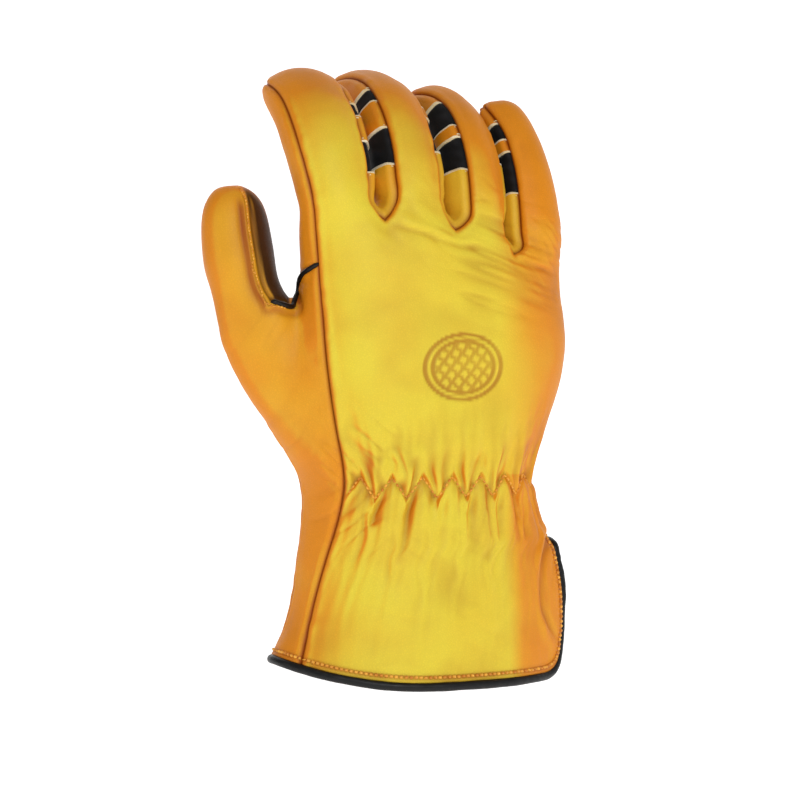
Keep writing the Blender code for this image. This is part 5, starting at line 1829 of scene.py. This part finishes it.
# Painted shadow on the thumb's inner face, where it faces the index finger
painted_thumb_shadow_tone = 0.97 * from_to(ridge, 0.8, 2.4) * above_web * points_of("thumb_front")
painted_thumb_shadow_tone *= ease((out[:, 0] + 0.25) / 0.5) * from_to(-y, -22, -13)
for name, tone in (("deep", painted_shade_tone), ("aside", side_shade_and_hide_tone), ("oiled", painted_thumb_shadow_tone)):
    print(name, "tone", round(float(tone.mean()), 2), "on average")

# %% [markdown]
# ## Cutting the skin into its panels
# Each panel takes its own quads of the shaped skin. Its rim goes down into the seam by the
# leather's thickness, so that no gap shows between panels. Large panels also get their flesh side,
# which shows inside the cuff and the vent. Leather strips beside fabric lie a little higher than
# the fabric and show a cream cut edge, as the real ones are lapped over it.

# %% Make the leather and fabric pieces
LAP_RAISE = 0.55 * MM
FABRIC_SINK = 0.15 * MM
LAP_REACH = 2.5 * MM
RIM_GAP = 0.08 * MM
FLESH_GAP = 0.3 * MM
# Painted shade on the lips that go down into the seams
LIP_SHADE = 0.7
LARGE_PANELS = ("back_panel", "palm_panel", "thumb_panel", "thumb_front")
SHADE_AND_TONE_MAPS = {"deep": painted_shade_tone, "aside": side_shade_and_hide_tone, "oiled": painted_thumb_shadow_tone}

coarse_skin, coarse_quads, coarse_marks = subdivided(COARSE)
coarse_out = skin_normals(coarse_skin, coarse_quads)


def panel_raise(name):
    """How far a panel's skin is lifted, per point of the whole skin."""
    lift = -FABRIC_SINK if name.endswith("insert") else LAP_RAISE
    return lift * ease(groove / LAP_REACH) * name.startswith("gusset")


def place_mesh(name, points, faces, materials, face_material=None):
    mesh = bpy.data.meshes.new(name)
    mesh.from_pydata(np.asarray(points).tolist(), [], [list(map(int, face)) for face in faces])
    for finish in materials:
        mesh.materials.append(finish)
    if face_material is not None:
        mesh.polygons.foreach_set("material_index", np.asarray(face_material, np.int32))
    mesh.shade_smooth()
    return linked(name, mesh)


def dressed(piece, slot, *nodes):
    """Hands a finished piece to the frame: what it rides on and stands for. slot is not used."""
    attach(piece, "root")
    if nodes:
        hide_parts(*nodes)
    return piece


def add_panel(name):
    number = PANEL_NAMES.index(name)
    mine = quads[panel_of_quad == number]
    used = np.unique(mine)
    index = np.full(len(skin), -1)
    index[used] = np.arange(len(used))
    points = shaped[used] + out[used] * panel_raise(name)[used, None]
    rim_edges = edge_own == number
    starts, ends, others = edge_start[rim_edges], edge_end[rim_edges], edge_other[rim_edges]

    own_normals = skin_normals(shaped, mine)
    inward = np.zeros((len(used), 3))
    for a, b in ((starts, ends), (ends, starts)):
        ahead = shaped[ends] - shaped[starts]
        np.add.at(inward, index[a], np.cross(own_normals[a], ahead))
    length = np.linalg.norm(inward, axis=1, keepdims=True)
    points += inward / np.maximum(length, 1e-9) * RIM_GAP * (length > 1e-9)

    rim = np.unique(np.concatenate([starts, ends]))
    low = np.full(len(skin), -1)
    low[rim] = len(used) + np.arange(len(rim))
    wall = FABRIC_WALL if name.endswith("insert") else WALL
    lip = points[index[rim]] - out[rim] * wall
    faces = [list(face) for face in index[mine]]
    lip_faces = np.stack([index[ends], index[starts], low[starts], low[ends]], 1)
    beside_fabric = np.array([o >= 0 and PANEL_NAMES[o].endswith("insert") for o in others])
    leather = not name.endswith("insert")
    cut = leather and name.startswith("gusset")
    at_fabric = np.concatenate([starts[beside_fabric], ends[beside_fabric]])
    edging = np.isin(mine, at_fabric).sum(1) >= 2
    finishes = [1 if cut and edge else 0 for edge in (*edging, *beside_fabric)]
    faces += [list(face) for face in lip_faces]
    points = np.concatenate([points, lip])
    if name in LARGE_PANELS:
        inner = coarse_quads[coarse_marks["panel"] == number]
        held = np.unique(inner)
        back = np.full(len(coarse_skin), -1)
        back[held] = len(points) + np.arange(len(held))
        points = np.concatenate([points, coarse_skin[held] - coarse_out[held] * (WALL + FLESH_GAP)])
        faces += [list(face[::-1]) for face in back[inner]]
        finishes += [2] * len(inner)
    front = LEATHER if leather else FABRIC
    made = place_mesh(name + "_skin", points, faces, [front, CUT_EDGE, FLESH_SIDE], finishes)
    for attribute, values in SHADE_AND_TONE_MAPS.items():
        # The lips down into the seams get painted shade; the other tones are 0 there
        tone = np.full(len(points), LIP_SHADE if attribute == "deep" else 0.0)
        tone[:len(used)] = values[used]
        made.data.attributes.new(attribute, "FLOAT", "POINT").data.foreach_set("value", tone)
    return dressed(made, "leather" if leather else "black_fabric", name)


for name in PANEL_NAMES:
    piece = add_panel(name)
    print(piece.name, len(piece.data.polygons), "faces")

# %% [markdown]
# ## Paths for thread, piping and binding
# Thread and trims follow the seams at a set distance. A path is taken from the chain of seam
# points, smoothed and spaced evenly, shifted to its own panel's side, and laid on the shaped skin
# by looking for the nearest surface point, so that it sits on whatever relief is there.

# %% Path helpers
def evenly(points, step, closed=False):
    """Points spaced evenly along a path, about one step apart."""
    points = np.asarray(points, float)
    if closed:
        points = np.concatenate([points, points[:1]])
    line = Line(points)
    count = max(2, round(line.length / step))
    found = line.at(np.linspace(0, line.length, count + 1))
    return found[:-1] if closed else found


def smoothed(points, rounds, closed=False):
    points = np.array(points, float)
    for _ in range(rounds):
        moved = (np.roll(points, 1, 0) + 2 * points + np.roll(points, -1, 0)) / 4
        if not closed:
            moved[0], moved[-1] = points[0], points[-1]
        points = moved
    return points


def ahead_of(points, closed=False):
    """Unit directions along a path."""
    if closed:
        step = np.roll(points, -1, 0) - np.roll(points, 1, 0)
    else:
        step = np.gradient(points, axis=0)
    return step / np.maximum(np.linalg.norm(step, axis=1, keepdims=True), 1e-12)


def laid(points):
    """The points moved to the shaped skin, and the skin's directions out there."""
    found = [surface.find_nearest(Vector(point))[:2] for point in points]
    return np.array([f[0] for f in found]), np.array([f[1] for f in found])


def beside(own, others, inset, step, smoothing=3):
    """Paths on a panel, inset from its seams with the named panels: points and directions out."""
    found = []
    for path in chains(own, others):
        closed = path[0] == path[-1]
        points = smoothed(skin[path[:-1] if closed else path], smoothing, closed)
        points = evenly(points, step, closed)
        if len(points) < 4:
            continue
        on_skin, up = laid(points)
        side = np.cross(up, ahead_of(points, closed))
        side /= np.linalg.norm(side, axis=1, keepdims=True)
        found.append(laid(on_skin + side * inset))
    return found


# %% [markdown]
# ## Stitches
# A lockstitch shows as a row of short raised bars with a dip between them, where the thread goes
# down through the leather. Each bar is a small tube that bends down into the leather at both
# ends. All the bars of one row are joined into one mesh.

# %% One stitch, and rows of them
STITCH_SIDES = 6
STITCH_PROFILE = [  # share along the stitch, height and thickness as shares of the thread
    (0.0, -0.9, 0.45),
    (0.12, 0.1, 0.9),
    (0.35, 0.55, 1.0),
    (0.65, 0.55, 1.0),
    (0.88, 0.1, 0.9),
    (1.0, -0.9, 0.45),
]


def stitches(path, up, thread, share=0.78):
    """One bar for each step of a path: the points and faces of the whole row."""
    points, faces = [], []
    for start, end, out_here in zip(path, path[1:], up):
        ahead = (end - start) * share
        span = np.linalg.norm(ahead)
        if span < 1e-6:
            continue
        side = np.cross(ahead / span, out_here)
        first = len(points)
        for along, high, thick in STITCH_PROFILE:
            middle = start + ahead * (along + (1 - share) / 2) + out_here * high * thread
            for k in range(STITCH_SIDES):
                a = 2 * math.pi * k / STITCH_SIDES
                round_here = side * math.cos(a) + out_here * math.sin(a)
                points.append(middle + thread * thick * round_here)
        for r in range(len(STITCH_PROFILE) - 1):
            for k in range(STITCH_SIDES):
                m = (k + 1) % STITCH_SIDES
                low, high = first + r * STITCH_SIDES, first + (r + 1) * STITCH_SIDES
                faces.append([low + k, low + m, high + m, high + k])
        last = first + (len(STITCH_PROFILE) - 1) * STITCH_SIDES
        faces.append([first + k for k in range(STITCH_SIDES)][::-1])
        faces.append([last + k for k in range(STITCH_SIDES)])
    return points, faces


def add_stitches(name, paths, thread_material, thread):
    points, faces = [], []
    for path, up in paths:
        more, their_faces = stitches(path, up, thread)
        faces += [[i + len(points) for i in face] for face in their_faces]
        points += more
    made = place_mesh(name, points, faces, [thread_material])
    print(name, len(faces) // (STITCH_SIDES * 5 + 2), "stitches")
    return dressed(made, "leather")


# %% The zigzag over the elastic
ZIGZAG_STITCH, ZIGZAG_THREAD = 1.9 * MM, 0.38 * MM
back_points = np.flatnonzero(on_back & (level > 0.85) & (level < 1.2))
flat_tree = KDTree(len(back_points))
for n, i in enumerate(back_points):
    flat_tree.insert((column[i] * COLUMN_STEP, above_wrist(level[i]), 0), n)
flat_tree.balance()


def on_wrist(at_column, over):
    """The place on the shaped back at a column and a height above the wrist line."""
    near = flat_tree.find_n((at_column * COLUMN_STEP, over, 0), 4)
    weights = np.array([1 / (distance + 1e-6) for _, _, distance in near])
    chosen = back_points[[n for _, n, _ in near]]
    return (shaped[chosen] * weights[:, None]).sum(0) / weights.sum()


last = BACK_COLUMNS * len(FINGERS)
corners = np.concatenate([[0.6], np.arange(2, last, 2), [last - 0.4]])
steps = np.interp(np.linspace(0, len(corners) - 1, 400), range(len(corners)), corners)
route = [on_wrist(step, float(zigzag(step))) for step in steps]
path = evenly(route, ZIGZAG_STITCH)
add_stitches("wrist_zigzag_thread", [laid(path)], GOLDEN_THREAD, ZIGZAG_THREAD)

# %% Rows along the hem, the vent, the thumb and the fabric strips
ROWS = {  # inset from the seam, length of a stitch, and the thread's half thickness
    "hem": (2.0 * MM, 1.8 * MM, 0.56 * MM),
    "thumb": (0.1 * MM, 1.25 * MM, 0.30 * MM),
    "strip": (1.5 * MM, 1.7 * MM, 0.24 * MM),
}
HEMMED = ("back_panel", "palm_panel", "thumb_panel")

inset, stitch, thread = ROWS["hem"]
hem_rows = sum([beside(name, ["rim"], inset, stitch, 6) for name in HEMMED], [])
add_stitches("hem_thread", hem_rows, GOLDEN_THREAD, thread)


def inner_part(path, up):
    """The part of the thumb's seam on the index's side, which ends at the tip."""
    top = int(path[:, 2].argmax())
    halves = [(path[:top], up[:top]), (path[top:], up[top:])]
    return min(halves, key=lambda half: half[0][:, 1].mean())


inset, stitch, thread = ROWS["thumb"]
thumb_rows = beside("thumb_panel", ["thumb_front"], inset, stitch)
thumb_rows = [inner_part(*row) for row in thumb_rows]
add_stitches("thumb_edge_thread", thumb_rows, GOLDEN_THREAD, thread)

lapped = [name for name in PANEL_NAMES if name.startswith("gusset") and not name.endswith("insert")]
inserts = [name for name in PANEL_NAMES if name.endswith("insert")]
inset, stitch, thread = ROWS["strip"]
strip_rows = sum([beside(name, inserts, inset, stitch, 1) for name in lapped], [])
add_stitches("strip_thread", strip_rows, CREAM_THREAD, thread)

# %% [markdown]
# ## Binding and piping
# The binding is a strip of goatskin folded over the edge of the hem and the vent and sewn down, so
# it makes one thick rolled edge. The piping is the same leather round a cord, caught in the seam
# between the thumb and the index finger. Both are swept along their path with an oval section,
# whose size wavers a little along it with smooth noise, for small cross wrinkles.

# %% Sweep an oval along a path
def swept(name, middles, sides, ups, half_side, half_up, corners, closed, finish):
    """A tube along a path. half_side and half_up give its half sizes at each point."""
    turn = np.linspace(0, 2 * math.pi, corners, endpoint=False)
    points = []
    for i, (middle, side, up) in enumerate(zip(middles, sides, ups)):
        wide, high = side * half_side[i], up * half_up[i]
        points += [middle + wide * math.cos(a) + high * math.sin(a) for a in turn]
    faces = []
    count = len(middles)
    for i in range(count if closed else count - 1):
        j = (i + 1) % count
        for k in range(corners):
            m = (k + 1) % corners
            faces.append([i * corners + m, i * corners + k, j * corners + k, j * corners + m])
    if not closed:
        faces.append(list(range(corners)))
        faces.append([(count - 1) * corners + k for k in range(corners)][::-1])
    return place_mesh(name, points, faces, [finish])


def unit(vectors):
    return vectors / np.maximum(np.linalg.norm(vectors, axis=-1, keepdims=True), 1e-12)


# %% The hem's binding
BINDING_OUT = 1.4 * MM  # from the leather's edge to the middle of the roll
BINDING_SINK = 0.5 * MM
BINDING_HALF_SIDE, BINDING_HALF_UP = 1.6 * MM, 1.55 * MM
BINDING_CORNERS = 16

rim_after = {int(a): int(b) for a, b, o in zip(edge_start, edge_end, edge_other) if o < 0}
loop = [min(rim_after)]
while rim_after[loop[-1]] != loop[0]:
    loop.append(rim_after[loop[-1]])
edge_line = evenly(smoothed(skin[loop], 4, True), 0.8 * MM, True)
tree = KDTree(len(loop))
for n, i in enumerate(loop):
    tree.insert(skin[i], n)
tree.balance()
up = unit(smoothed([out[loop[tree.find(point)[1]]] for point in edge_line], 6, True))
away = unit(np.cross(ahead_of(edge_line, True), up))
away = unit(smoothed(away, 6, True))
bumps = noise(edge_line, 3.2 * MM, 21)
small = noise(edge_line, 1.5 * MM, 22)
reach = BINDING_OUT + 0.12 * MM * noise(edge_line, 9 * MM, 23)
middles = edge_line + away * reach[:, None] - up * BINDING_SINK
half_side = BINDING_HALF_SIDE * (1 + 0.05 * bumps)
half_up = BINDING_HALF_UP * (1 + 0.10 * bumps + 0.06 * small)
binding = swept(
    "hem_binding_roll", middles, away, up, half_side, half_up, BINDING_CORNERS, True, GOATSKIN,
)
dressed(binding, "black_leather", "hem_binding")
print("binding", round(Line(edge_line).length / MM), "mm long")

# %% The piping
PIPING = 0.92 * MM
PIPING_LIFT = 0.35 * MM
PIPING_CORNERS = 12

cage_route = np.array(cage.points)[piping_route(cage)]
knots = evenly(smoothed(evenly(cage_route, 0.8 * MM), 12), 0.5 * MM)
on_skin, up = laid(knots)
on_skin, up = smoothed(on_skin, 16), unit(smoothed(up, 16))
side = unit(np.cross(ahead_of(knots), up))
to_end = np.minimum(np.arange(len(knots)), np.arange(len(knots))[::-1])
taper = ease(to_end / 3) * 0.5 + 0.5
half = PIPING * (1 + 0.06 * noise(knots, 1.6 * MM, 31)) * taper
piping = swept(
    "web_piping_roll", on_skin + up * PIPING_LIFT, side, up, half, half, PIPING_CORNERS, False,
    GOATSKIN,
)
dressed(piping, "black_leather", "web_piping")
print("piping", round(Line(knots).length / MM), "mm long")
